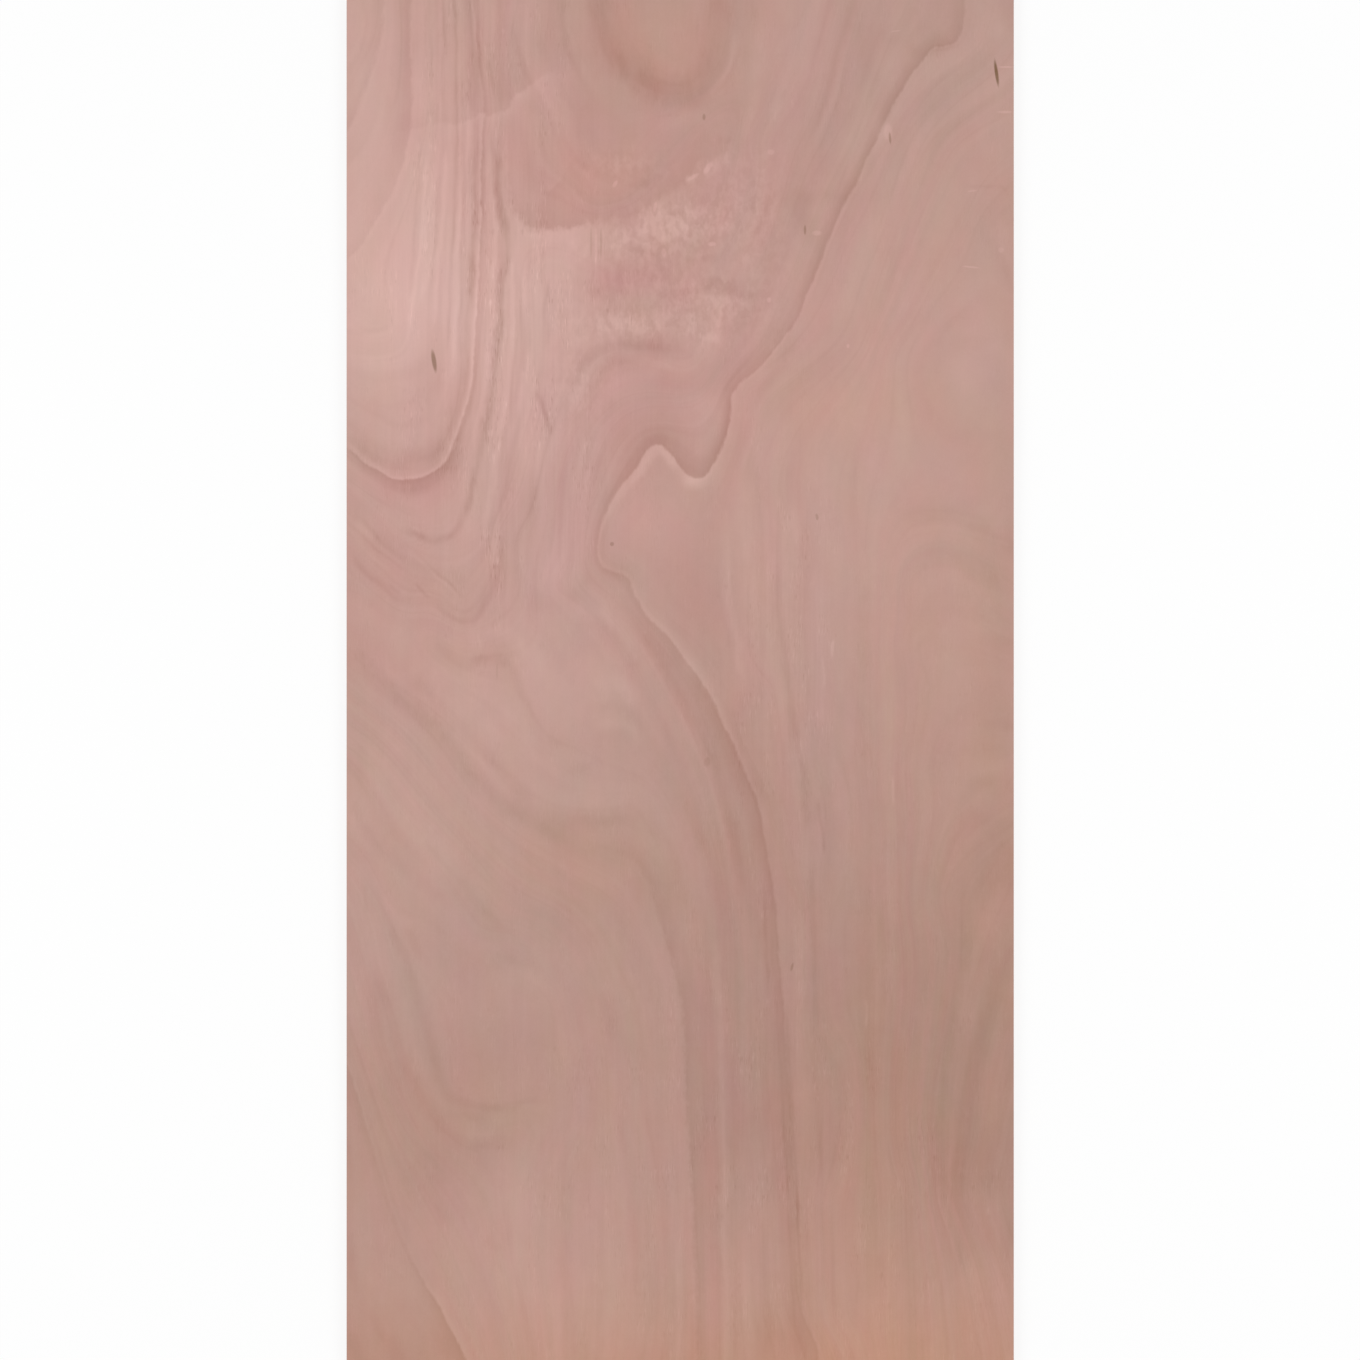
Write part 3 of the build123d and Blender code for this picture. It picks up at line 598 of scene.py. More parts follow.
# Small waves that shift the strokes, in pixels: height, length, and the sway and length of a slower wave.
WAVES_ACROSS = [(0.5, 13.7, 1.7, 23), (0.3, 5.1, 2.1, 17)]
WAVES_ALONG = [(1.3, 9.3, 1.7, 21), (0.9, 5.3, 2.1, 19)]


def photo_places(x, y):
    """Where points of the face lie in the photograph: pixels right from its left and down from its top."""
    return np.stack([MIDDLE_PX + x / PX, PHOTO_PX / 2 - y / PX], axis=-1)


def curve_through(points, longest=6.0):
    """A smooth run through the points: between two, the cubic set by them and their neighbours.

    Gives the run's places, no further apart than the longest step, and the point number at each.
    """
    knots = np.array(points, float)
    knots = np.vstack([2 * knots[0] - knots[1], knots, 2 * knots[-1] - knots[-2]])
    chords = np.linalg.norm(np.diff(knots[1:-1], axis=0), axis=1)
    steps = int(np.ceil(chords.max() / longest))
    number = np.linspace(0, len(points) - 1, steps * (len(points) - 1) + 1)
    span = np.minimum(number.astype(int), len(points) - 2)
    share = (number - span)[:, None]
    before, start, end, after = (knots[span + offset] for offset in range(4))
    bend = (2 * before - 5 * start + 4 * end - after) * share ** 2
    twist = (3 * start - before - 3 * end + after) * share ** 3
    return 0.5 * (2 * start + (end - before) * share + bend + twist), number


def across_line(points, places, reach):
    """How far places lie across a line, plus on its left hand, and the point number they are nearest to.

    Each short step of the line is tried in turn on all places at once, and the nearest step wins.
    """
    path, number = curve_through(points)
    near = np.all((places > path.min(0) - reach) & (places < path.max(0) + reach), axis=-1)
    spots = places[near]
    nearest = np.full(len(spots), np.inf)
    side = np.zeros(len(spots))
    at = np.zeros(len(spots))
    for start, end, first, last in zip(path[:-1], path[1:], number[:-1], number[1:]):
        step = end - start
        share = np.clip((spots - start) @ step / (step @ step), 0, 1)
        away = spots - start - share[:, None] * step
        distance = np.hypot(away[:, 0], away[:, 1])
        wins = distance < nearest
        nearest[wins] = distance[wins]
        left = away[:, 0] * step[1] - away[:, 1] * step[0]
        side[wins] = np.sign(left[wins])
        at[wins] = first + share[wins] * (last - first)
    distance = np.full(places.shape[0], np.inf)
    distance[near] = nearest * np.where(side < 0, -1, 1)
    along = np.zeros(places.shape[0])
    along[near] = at
    return distance, along


def uneven_waves(layers, run, other):
    """Waves along the run added up, each swayed by a slower wave along the other direction."""
    return sum(height * np.sin(run / length + sway * np.sin(other / slow))
               for height, length, sway, slow in layers)


def wavered(places):
    """Places shifted a pixel or two along small uneven waves, so that no drawn line runs too smoothly."""
    x, y = places.T
    return places + np.stack([uneven_waves(WAVES_ACROSS, y, x), uneven_waves(WAVES_ALONG, x, y)], axis=-1)


def fade(share):
    """One at nothing, falling to nothing at one, faster at first."""
    return np.clip(1 - share, 0, 1) ** FADE_POWER


def edge_layer_values(drawn, places):
    """An edge's three values at each place: its crossing, the dark side's tone and the pale side's."""
    stations = sorted(drawn["profile"])
    table = np.array([drawn["profile"][number] for number in stations])
    guard = EDGE_GUARD_PX + EDGE_GUARD_SOFTS * drawn["soft"]
    farthest = max(table[:, 1].max(), table[:, 3].max(), guard)
    distance, along = across_line(drawn["points"], places, farthest)
    near = np.isfinite(distance)
    distance = np.where(near, distance, 0)
    dark, reach, pale, rim = (np.interp(along, stations, column) for column in table.T)
    shade = -dark * fade(np.where(distance > 0, distance / reach, -distance / guard))
    light = pale * fade(np.where(distance < 0, -distance / rim, distance / guard))
    live = near & ((shade != 0) | (light != 0))
    return np.stack([distance / drawn["soft"], shade, light], axis=-1), live


def line_layer_values(drawn, places):
    """A line's values at each place: its crossing, over its width, and its tone there."""
    zone = max(LINE_ZONE_WIDTHS * drawn["width"], drawn["width"] + LINE_ZONE_PX)
    distance, along = across_line(drawn["points"], places, zone)
    near = np.isfinite(distance)
    distance = np.where(near, distance, 0)
    path, number = curve_through(drawn["points"])
    run = np.concatenate([[0], np.cumsum(np.linalg.norm(np.diff(path, axis=0), axis=1))])
    walked = np.interp(along, number, run)
    ends = np.clip(np.minimum(walked, run[-1] - walked) / drawn["ends"], 0, 1)
    tone = drawn["tone"] * ends * np.clip((zone - np.abs(distance)) / LINE_ZONE_FADE_PX, 0, 1)
    live = near & (tone != 0)
    return np.stack([distance / drawn["width"], tone, np.zeros_like(tone)], axis=-1), live


def layered(drawings, values_of, places):
    """Lays the drawings on as few layers as they fit on without touching, first come first laid."""
    layers = []
    for drawn in drawings:
        values, live = values_of(drawn, places)
        for layer in layers:
            if not np.any(layer["live"] & live):
                break
        else:
            layer = {"values": np.zeros_like(values), "live": np.zeros_like(live)}
            layers.append(layer)
        layer["values"][live] = values[live]
        layer["live"] |= live
    return [layer["values"] for layer in layers]


def clouds(drawn, places):
    """The sum of soft clouds: each falls off as a bell over its reach across and along."""
    total = np.zeros(len(places))
    for x, y, across, along, amount in drawn:
        away = ((places - (x, y)) / (across, along)) ** 2
        total += amount * np.exp(-away.sum(-1))
    return total


# The gap between the points where a numbered line holds the ring field, in pixels, and its slack.
RING_KNOT_GAP = 24.0
RING_SLACK = 1e-4
# How many times the rings' noise is stretched along them.
RING_STRETCH = 8.0
# The ring field is worked out in this many blocks of places.
RING_BLOCKS = 60
# Added under a logarithm, so that it is never of nothing.
TINY = 1e-12


def ring_field(places):
    """Which ring each place lies in: a thin plate bent to pass each numbered line at its own number.

    The plate is a plane plus, for each point on those lines, its weight times the distance to it
    squared times the logarithm of that distance.
    """
    numbered = [drawn for drawn in [*EDGES.values(), *LINES] if drawn["ring"] is not None]
    paths = [curve_through(drawn["points"], RING_KNOT_GAP)[0] / PHOTO_PX for drawn in numbered]
    knots = np.concatenate(paths)
    heights = np.repeat([float(drawn["ring"]) for drawn in numbered], [len(path) for path in paths])

    def bend(spots):
        squared = ((spots[:, None] - knots[None]) ** 2).sum(-1)
        return 0.5 * squared * np.log(squared + TINY)

    def plane(spots):
        return np.column_stack([np.ones(len(spots)), spots])

    stiff = bend(knots) + RING_SLACK * np.eye(len(knots))
    system = np.block([[stiff, plane(knots)], [plane(knots).T, np.zeros((3, 3))]])
    weights = np.linalg.solve(system, np.concatenate([heights, np.zeros(3)]))
    blocks = np.array_split(places / PHOTO_PX, RING_BLOCKS)
    return np.concatenate([np.hstack([bend(block), plane(block)]) @ weights for block in blocks])


# The panel's mesh.

def grid_lines(size, cells):
    """Lines of a grid from edge to edge: even cells inside, and a narrow one at each corner round."""
    flat = size / 2 - CORNER_ROUND
    brim = size / 2 - ARRIS
    return np.concatenate([[-brim], np.linspace(-flat, flat, cells + 1), [brim]])


def coarse_pick(count):
    """The grid lines that the coarse mesh keeps: the two at each end and every few between."""
    return np.unique(np.concatenate([[0], np.arange(1, count - 1, COARSE_STEP), [count - 2, count - 1]]))


def rim_of(rows, columns):
    """Numbers of a grid's rim, anticlockwise from its low corner, for a grid of rows along Y."""
    number = np.arange(rows * columns).reshape(rows, columns)
    return np.concatenate([number[0, :-1], number[:-1, -1], number[-1, :0:-1], number[:0:-1, 0]])


def grid_quads(rows, columns):
    """The faces of a grid, seen from above, anticlockwise."""
    number = np.arange(rows * columns).reshape(rows, columns)
    corners = (number[:-1, :-1], number[:-1, 1:], number[1:, 1:], number[1:, :-1])
    return np.stack(corners, axis=-1).reshape(-1, 4)


def round_corners(x, y):
    """Pulls a grid's four corners in onto the corner round, at the middle of its quarter turn."""
    middle = np.array([WIDTH, LENGTH]) / 2 - CORNER_ROUND
    pull = (CORNER_ROUND - ARRIS) * np.sqrt(0.5)
    corner = (np.abs(x) > middle[0]) & (np.abs(y) > middle[1])
    x = np.where(corner, np.sign(x) * (middle[0] + pull), x)
    y = np.where(corner, np.sign(y) * (middle[1] + pull), y)
    return x, y


def core_ply():
    """How thick one core ply is, in millimetres."""
    return (THICKNESS / MM - 2 * FACE_PLY) / CORE_PLIES


def edge_profile():
    """The sawn edge from the back's arris to the face's: its heights, and which plies run crosswise.

    Each ply has a low and a high row, just clear of the seams, and every second ply runs crosswise.
    """
    seams = FACE_PLY * MM + core_ply() * MM * np.arange(CORE_PLIES + 1)
    rows = np.stack([seams - SEAM_HALF, seams + SEAM_HALF], axis=-1).ravel()
    crosswise = np.repeat(np.arange(CORE_PLIES + 2) % 2 == 1, 2)
    return np.concatenate([[ARRIS], rows, [THICKNESS - ARRIS]]), crosswise


# How deep the gum pocket and the slit are, and how far their bowls reach past their dark wood.
MARK_DEPTH = 0.5 * MM
MARK_BRIM_PX = 1.5


def mark_depths(places):
    """How deep the gum pocket and the slit are: a shallow bowl over each, in metres."""
    depth = np.zeros(len(places))
    for name in ("gum pocket", "edge slit"):
        x, y, across, along = MARKS[name][:4]
        away = ((places - (x, y)) / (across + MARK_BRIM_PX, along + MARK_BRIM_PX)) ** 2
        depth += MARK_DEPTH * np.clip(1 - away.sum(-1), 0, 1)
    return depth


def rim_sides(across_steps, along_steps):
    """Which side each step round a rim is on: 0 the foot, 1 the right, 2 the head, 3 the left."""
    return np.repeat(np.arange(4), [across_steps, along_steps, across_steps, along_steps])


def panel_skin():
    """The whole panel as one closed skin, with the region that each of its faces belongs to.

    The good face is a fine grid and the back a coarse one. Between them the sawn edge's profile is
    carried round the coarse rim. The face's arris joins its fine rim to the coarse one: each fine
    step makes a triangle with the nearer post of the coarse rim, and each coarse step closes the
    gap between two posts. Regions are 0 for the face, 1 for the back and 2 to 5 for the sides.
    """
    x_lines = grid_lines(WIDTH, FACE_CELLS_ACROSS)
    y_lines = grid_lines(LENGTH, FACE_CELLS_ALONG)
    x_pick = coarse_pick(len(x_lines))
    y_pick = coarse_pick(len(y_lines))

    face_x, face_y = round_corners(*np.meshgrid(x_lines, y_lines))
    places = photo_places(face_x.ravel(), face_y.ravel())
    face_points = np.column_stack([face_x.ravel(), face_y.ravel(), THICKNESS - mark_depths(places)])
    back_x, back_y = round_corners(*np.meshgrid(x_lines[x_pick], y_lines[y_pick]))
    back_points = np.column_stack([back_x.ravel(), back_y.ravel(), np.zeros(back_x.size)])

    back_rim = rim_of(len(y_pick), len(x_pick))
    rim_xy = back_points[back_rim, :2]
    at_brim = np.abs(rim_xy) > np.array([WIDTH, LENGTH]) / 2 - CORNER_ROUND
    outward = np.sign(rim_xy) * at_brim
    outward /= np.linalg.norm(outward, axis=1, keepdims=True)
    heights, crosswise = edge_profile()
    on_end = np.abs(outward[:, 1:]) > FACING_END
    stand = ARRIS - END_GRAIN_STEP * np.where(on_end, ~crosswise, crosswise)
    stand[:, [0, -1]] = ARRIS
    wall_xy = rim_xy[:, None, :] + outward[:, None, :] * stand[:, :, None]
    wall_z = np.broadcast_to(heights[None, :, None], wall_xy.shape[:2] + (1,))
    wall_points = np.concatenate([wall_xy, wall_z], axis=-1)

    posts, rows = wall_points.shape[:2]
    first_back = len(face_points)
    first_wall = first_back + len(back_points)
    wall = first_wall + np.arange(posts * rows).reshape(posts, rows)
    following = np.roll(np.arange(posts), -1)
    side = rim_sides(len(x_pick) - 1, len(y_pick) - 1)

    face_quads = grid_quads(len(y_lines), len(x_lines))
    back_quads = first_back + grid_quads(len(y_pick), len(x_pick))[:, ::-1]
    low = wall[:, :-1]
    high = wall[:, 1:]
    wall_quads = np.stack([low, low[following], high[following], high], axis=-1).reshape(-1, 4)
    brim = first_back + back_rim
    foot_quads = np.stack([brim, brim[following], wall[following, 0], wall[:, 0]], axis=-1)

    face_rim = rim_of(len(y_lines), len(x_lines))
    step = np.arange(len(face_rim))
    shared = np.ravel_multi_index(np.ix_(y_pick, x_pick), (len(y_lines), len(x_lines)))
    post_at = np.flatnonzero(np.isin(face_rim, shared))
    halfway = (post_at + np.append(post_at[1:], len(face_rim))) // 2
    behind = np.searchsorted(post_at, step, side="right") - 1
    nearer = np.where(step < halfway[behind], behind, following[behind])
    teeth = np.stack([wall[nearer, -1], np.roll(face_rim, -1), face_rim], axis=-1)
    gaps = np.stack([wall[:, -1], wall[following, -1], face_rim[halfway % len(face_rim)]], axis=-1)

    regions = [np.zeros(len(face_quads), int), np.ones(len(back_quads), int), 2 + np.repeat(side, rows - 1),
               2 + side, 2 + rim_sides(len(x_lines) - 1, len(y_lines) - 1), 2 + side]
    quads = np.concatenate([face_quads, back_quads, wall_quads, foot_quads])
    rounded = np.zeros(len(quads) + len(teeth) + len(gaps), bool)
    rounded[:len(face_quads)] = ~np.isin(face_quads, face_rim).any(axis=1)
    return {"points": np.concatenate([face_points, back_points, wall_points.reshape(-1, 3)]),
            "quads": quads, "triangles": np.concatenate([teeth, gaps]), "places": places,
            "region": np.concatenate(regions), "rounded": rounded}


# Where each region lies on the skin's flat map, as shares of the map's width.
FACE_STRIP = (0.004, 0.744)
BACK_STRIP = (0.752, 0.892)
EDGE_STRIPS = [(0.900, 0.922), (0.9255, 0.9475), (0.951, 0.973), (0.9765, 0.9985)]
MAP_MARGIN = 0.004
# How much of an edge's strip each of its two arrises takes.
ARRIS_SHARE = 0.05


def flat_map(skin):
    """The skin laid out flat: the face and the back as seen from above, each edge as a strip beside them."""
    across = skin["points"][:, 0] / WIDTH + 0.5
    along = skin["points"][:, 1] / LENGTH + 0.5
    arris = ARRIS / THICKNESS
    climb = np.interp(skin["points"][:, 2] / THICKNESS, [0, arris, 1 - arris, 1],
                      [0, ARRIS_SHARE, 1 - ARRIS_SHARE, 1])
    corner = np.concatenate([skin["quads"].ravel(), skin["triangles"].ravel()])
    sizes = np.repeat([4, 3], [len(skin["quads"]), len(skin["triangles"])])
    region = np.repeat(skin["region"], sizes)
    start, end = np.array([FACE_STRIP, BACK_STRIP] + EDGE_STRIPS)[region].T
    u = start + (end - start) * np.where(region < 2, across[corner], climb[corner])
    v = np.where((region == 2) | (region == 4), across[corner], along[corner])
    return np.stack([u, MAP_MARGIN + (1 - 2 * MAP_MARGIN) * v], axis=-1)


# How much the rings and the fibres show where no cloud lies.
RING_SHARE = 1.0
FIBRE_SHARE = 0.4


def figure_values(places):
    """Everything the face's material reads at each of its points: clouds, rings, edges and grain lines."""
    values = {"clouds": [clouds(drawn, places) for drawn in (TONE_CLOUDS, ROSY_CLOUDS, AMBER_CLOUDS)],
              "shows": [RING_SHARE + clouds(RING_CLOUDS, places), FIBRE_SHARE + clouds(FIBRE_CLOUDS, places)],
              "patches": [clouds(drawn, places) for drawn in (PALE_PATCHES, DARK_PATCHES, TORN_CLOUDS)],
              "rings": [ring_field(places) * PX, *(places * PX / RING_STRETCH).T]}
    values = {name: np.column_stack(columns) for name, columns in values.items()}
    moved = wavered(places)
    for number, layer in enumerate(layered(EDGES.values(), edge_layer_values, moved)):
        values[f"edges_{number}"] = layer
    for number, layer in enumerate(layered(LINES, line_layer_values, moved)):
        values[f"lines_{number}"] = layer
    return values


# Which finish each region of the skin takes: the face, the back, and the ends and long sides in turn.
FINISH_OF_REGION = np.array([0, 1, 3, 2, 3, 2], np.int32)


def make_panel(skin, figure, finishes):
    """Puts the skin into a mesh, with its finishes, its flat map and the figure's values."""
    mesh = bpy.data.meshes.new("plywood_panel")
    mesh.from_pydata(skin["points"], [], skin["quads"].tolist() + skin["triangles"].tolist())
    for finish in finishes:
        mesh.materials.append(finish)
    mesh.polygons.foreach_set("material_index", FINISH_OF_REGION[skin["region"]])
    mesh.polygons.foreach_set("use_smooth", skin["rounded"])
    mesh.uv_layers.new(name="OFBake").data.foreach_set("uv", flat_map(skin).ravel())
    for name, values in figure.items():
        whole = np.zeros((len(skin["points"]), 3))
        whole[:len(values), :values.shape[1]] = values
        mesh.attributes.new(name, "FLOAT_VECTOR", "POINT").data.foreach_set("vector", whole.ravel())
    mesh.update()
    panel = bpy.data.objects.new("plywood_panel", mesh)
    bpy.context.collection.objects.link(panel)
    return panel


# Finishes.

class Finish:
    """A material's nodes, laid one after another."""

    def __init__(self, name):
        self.material = bpy.data.materials.new(name)
        self.material.use_nodes = True
        self.tree = self.material.node_tree
        self.tree.nodes.clear()

    def lay(self, kind, inputs=None, **settings):
        """Adds a node. An input is a number, a colour or another node's output."""
        made = self.tree.nodes.new("ShaderNode" + kind)
        for name, value in settings.items():
            setattr(made, name, value)
        for socket, value in (inputs or {}).items():
            if isinstance(value, bpy.types.NodeSocket):
                self.tree.links.new(value, made.inputs[socket])
            else:
                made.inputs[socket].default_value = value
        return made

    def reckon(self, operation, *terms):
        """The result of one sum on two or three terms."""
        return self.lay("Math", dict(enumerate(terms)), operation=operation).outputs[0]

    def total(self, terms):
        """All the terms added up."""
        result = terms[0]
        for term in terms[1:]:
            result = self.reckon("ADD", result, term)
        return result

    def ease(self, value, low, high, out_low=0.0, out_high=1.0):
        """The value's place between low and high, eased at both ends, as a place in the new range."""
        inputs = {"Value": value, "From Min": low, "From Max": high, "To Min": out_low, "To Max": out_high}
        return self.lay("MapRange", inputs, interpolation_type="SMOOTHSTEP").outputs["Result"]

    def stored(self, name):
        """The three values that the mesh holds under this name."""
        vector = self.lay("Attribute", attribute_name=name).outputs["Vector"]
        return self.lay("SeparateXYZ", {"Vector": vector}).outputs

    def place(self):
        """The piece's own coordinates, in metres."""
        return self.lay("TexCoord").outputs["Object"]

    def noise(self, place, size, detail=2.0):
        """Cloudy noise with blots of about this size in millimetres along X, Y and Z."""
        scale = tuple(1 / (side * MM) for side in size)
        moved = self.lay("Mapping", {"Vector": place, "Scale": scale}).outputs[0]
        return self.lay("TexNoise", {"Vector": moved, "Scale": 1.0, "Detail": detail}).outputs["Fac"]

    def swing(self, noise, amount):
        """Noise turned into a swing either side of nothing."""
        return self.reckon("MULTIPLY_ADD", noise, 2 * amount, -amount)

    def swings(self, place, layers):
        """Layers of noise added up, each swung either side of nothing by its own amount."""
        return self.total([self.swing(self.noise(place, size, detail), amount)
                           for size, detail, amount in layers])

    def blots(self, place, size, detail, *span):
        """Noise eased over a part of its range, so that it stands out as blots."""
        return self.ease(self.noise(place, size, detail), *span)

    def close(self, colour, roughness, height, bump):
        """The closing shader: colour, roughness and a fine relief."""
        relief = self.lay("Bump", {"Height": height, "Strength": bump, "Distance": RELIEF_DEPTH}).outputs[0]
        inputs = {"Base Color": colour, "Roughness": roughness, "Normal": relief, "Specular IOR Level": SHEEN}
        shader = self.lay("BsdfPrincipled", inputs)
        self.lay("OutputMaterial", {"Surface": shader.outputs[0]})
        return self.material


# The veneer's middle colour, and how strongly its red, green and blue each follow the tone, the
# rosiness and the amber.
VENEER = (0.520, 0.309, 0.261)
TONE_PULL = (0.795, 1.036, 1.170)
ROSY_PULL = (0.022, -0.020, 0.002)
AMBER_PULL = (0.070, 0.012, -0.085)
# How much a mark's tone pulls it away from olive, and where its rim starts and stops fading, as shares
# of its half width and half length.
MARK_ROSINESS = 4.0
MARK_RIM = (0.55, 1.25)
GLUE_BROWN = (0.10, 0.05, 0.035, 1)
# How much the wood shines, how deep its relief is, and how far its pores sink into that.
SHEEN = 0.3
RELIEF_DEPTH = 0.3 * MM
PORE_DEPTH = -0.06
# A block of noise as thick as this, in millimetres, is the same all through the sheet.
THROUGH = 500

# Layers of noise: the size of the blots in millimetres, their detail, and how far they swing. These
# swing the tone.
STREAKS = [((14, 600, THROUGH), 2.0, 0.04), ((4.5, 130, THROUGH), 2.0, 0.03)]
MOTTLE = [((60, 90, THROUGH), 1.0, 0.035), ((16, 24, THROUGH), 2.0, 0.03), ((3.2, 5.0, THROUGH), 2.0, 0.03)]
RING_BANDS = [((7, 60, 60), 2.0, 0.028), ((18, 60, 60), 1.0, 0.05), ((46, 90, 90), 1.0, 0.09)]
BACK_CLOUDS = [((300, 700, THROUGH), 2.0, 0.10)]
# These swing the rosiness and the amber, with the rings, on the face and on the back.
RING_ROSINESS = [((30, 90, 90), 2.0, 1.5)]
RING_AMBER = [((50, 120, 120), 2.0, 0.25)]
FACE_ROSINESS = [((75, 150, THROUGH), 2.0, 1.8)]
FACE_AMBER = [((65, 120, THROUGH), 2.0, 0.35)]
BACK_ROSINESS = [((90, 240, THROUGH), 2.0, 3.0)]
BACK_AMBER = [((140, 300, THROUGH), 2.0, 0.6)]
# These push the ring edges, the grain lines and the torn patches about.
EDGE_RAGGEDNESS = [((9, 16, THROUGH), 2.0, 1.2)]
LINE_RAGGEDNESS = [((10, 26, THROUGH), 2.0, 0.6)]
PATCH_RAGGEDNESS = [((15, 28, THROUGH), 4.0, 1.9)]
# These are the grain, the saw marks and the clouds of a sawn edge that runs along Y.
LONG_GRAIN = [((0.4, 70, 0.4), 2.0, 0.14)]
END_GRAIN = [((0.5, 0.5, 0.5), 2.0, 0.22)]
SAW_MARKS = [((6, 0.9, 60), 2.0, 0.05)]
SAWN_CLOUDS = [((30, 30, 1.5), 2.0, 0.10)]
# How much darker end grain is, and how far the plies differ in tone, rosiness and amber.
END_GRAIN_TONE = -0.26
PLY_SWINGS = (0.06, 1.5, 0.3)
# Blots of noise: size in millimetres, detail, the part of the noise that is eased, and what it is
# eased to, where that isn't from nothing to one.
FIBRE_DRIFTS = ((40, 110, THROUGH), 2.0, 0.47, 0.62)
PALE_DASHES = ((1.9, 26, THROUGH), 1.0, 0.55, 0.72)
PORES = ((1.7, 18, THROUGH), 0.0, 0.62, 0.78)
LINE_STRENGTHS = ((40, 110, THROUGH), 2.0, 0.3, 0.7, 0.6, 1.4)
FLAKES = [((11, 17, THROUGH), 1.6, 0.42, 0.60, -0.045, 0.065),
          ((30, 36, THROUGH), 2.0, 0.40, 0.62, -0.04, 0.05)]
# How dark or pale the dashes of the fibres, the hair lines between the rings and the patches are.
DASH_TONE = 0.10
HAIR_TONE = -0.022
PALE_PATCH_TONE = 0.12
DARK_PATCH_TONE = -0.10
# The noise whose middle value draws the hair lines, in millimetres, and how much of it they take.
HAIR_SIZE = (34, 60, 60)
HAIR_WIDTH = 0.045
# How thick a patch's cloud is where the patch starts and where it is full.
PATCH_FILL = (0.2, 1.3)
# The back's rings: the noise that they follow, how many there are over its range, how late each
# darkens, how far it darkens from how pale, and how dark the pores are.
BACK_RING_SIZE = (260, 1100, THROUGH)
BACK_RINGS = 9.0
BACK_RING_POWER = 2.5
BACK_RING_TONES = (-0.12, 0.02)
BACK_PORE_TONE = -0.04
# How far from its middle a glue line is dark, and where it is gone, as shares of a core ply.
GLUE_LINE_SHARES = (0.02, 0.075)
# Roughness of the dark and the pale fibres, over this range of their tone, and of long and end grain.
FIBRE_RANGE = (-0.1, 0.1)
FACE_ROUGHNESS = (0.68, 0.56)
BACK_ROUGHNESS = (0.72, 0.6)
SAWN_ROUGHNESS = (0.68, 0.82)
# How strongly the relief of each finish shows.
FACE_BUMP = 0.2
BACK_BUMP = 0.25
SAWN_BUMP = 0.3


def veneer_colour(finish, tone, rosy, amber):
    """Colour from tone, rosiness and amber: each raises or lowers red, green and blue by its own share."""
    channels = []
    for middle, *pulls in zip(VENEER, TONE_PULL, ROSY_PULL, AMBER_PULL):
        share = 1.0
        for value, pull in zip((tone, rosy, amber), pulls):
            share = finish.reckon("MULTIPLY_ADD", value, pull, share)
        channels.append(finish.reckon("MULTIPLY", share, middle))
    return finish.lay("CombineColor", dict(enumerate(channels))).outputs[0]


def fibre_tones(finish, place):
    """The fibres, all long with the grain: slow streaks, then pale and dark dashes that come in drifts."""
    drifts = finish.blots(place, *FIBRE_DRIFTS)
    pale = finish.blots(place, *PALE_DASHES)
    pores = finish.blots(place, *PORES)
    dashes = finish.reckon("MULTIPLY", finish.reckon("MULTIPLY_ADD", pores, -1.0, pale), drifts)
    return finish.reckon("MULTIPLY_ADD", dashes, DASH_TONE, finish.swings(place, STREAKS)), pores


def ring_tones(finish, rings):
    """The rings' own tone: bands of three widths that follow the ring field, and hair lines between them."""
    slow = finish.noise(rings, HAIR_SIZE, detail=1.0)
    hair = finish.reckon("ABSOLUTE", finish.reckon("SUBTRACT", slow, 0.5))
    hair_tone = finish.ease(hair, 0.0, HAIR_WIDTH, HAIR_TONE, 0.0)
    return finish.total([finish.swings(rings, RING_BANDS), hair_tone])


def ring_edge_tone(finish, layer, ragged):
    """A layer of ring edges: the pale tone on one side and the dark on the other, parted raggedly."""
    crossing, dark, pale = finish.stored(layer)
    side = finish.ease(finish.reckon("ADD", crossing, ragged), -1.0, 1.0)
    return finish.lay("Mix", {"Factor": side, "A": pale, "B": dark}).outputs["Result"]


def grain_line_tone(finish, layer, ragged):
    """A layer of grain lines: each line's tone, falling off on both sides as a bell, a little raggedly."""
    crossing, amount = finish.stored(layer)[:2]
    away = finish.reckon("ADD", crossing, ragged)
    bell = finish.reckon("EXPONENT", finish.reckon("MULTIPLY", finish.reckon("MULTIPLY", away, away), -1.0))
    return finish.reckon("MULTIPLY", amount, bell)


def patch_tones(finish, place):
    """Torn wood: flakes in two sizes, and patches filled where their cloud, made ragged, is thick enough."""
    pale, dark, torn = finish.stored("patches")
    ragged = finish.swings(place, PATCH_RAGGEDNESS)
    flakes = finish.total([finish.blots(place, *flake) for flake in FLAKES])
    terms = [finish.reckon("MULTIPLY", flakes, torn)]
    for cloud, tone in ((pale, PALE_PATCH_TONE), (dark, DARK_PATCH_TONE)):
        thick = finish.reckon("MULTIPLY_ADD", cloud, ragged, cloud)
        terms.append(finish.ease(thick, *PATCH_FILL, 0.0, tone))
    return finish.total(terms)


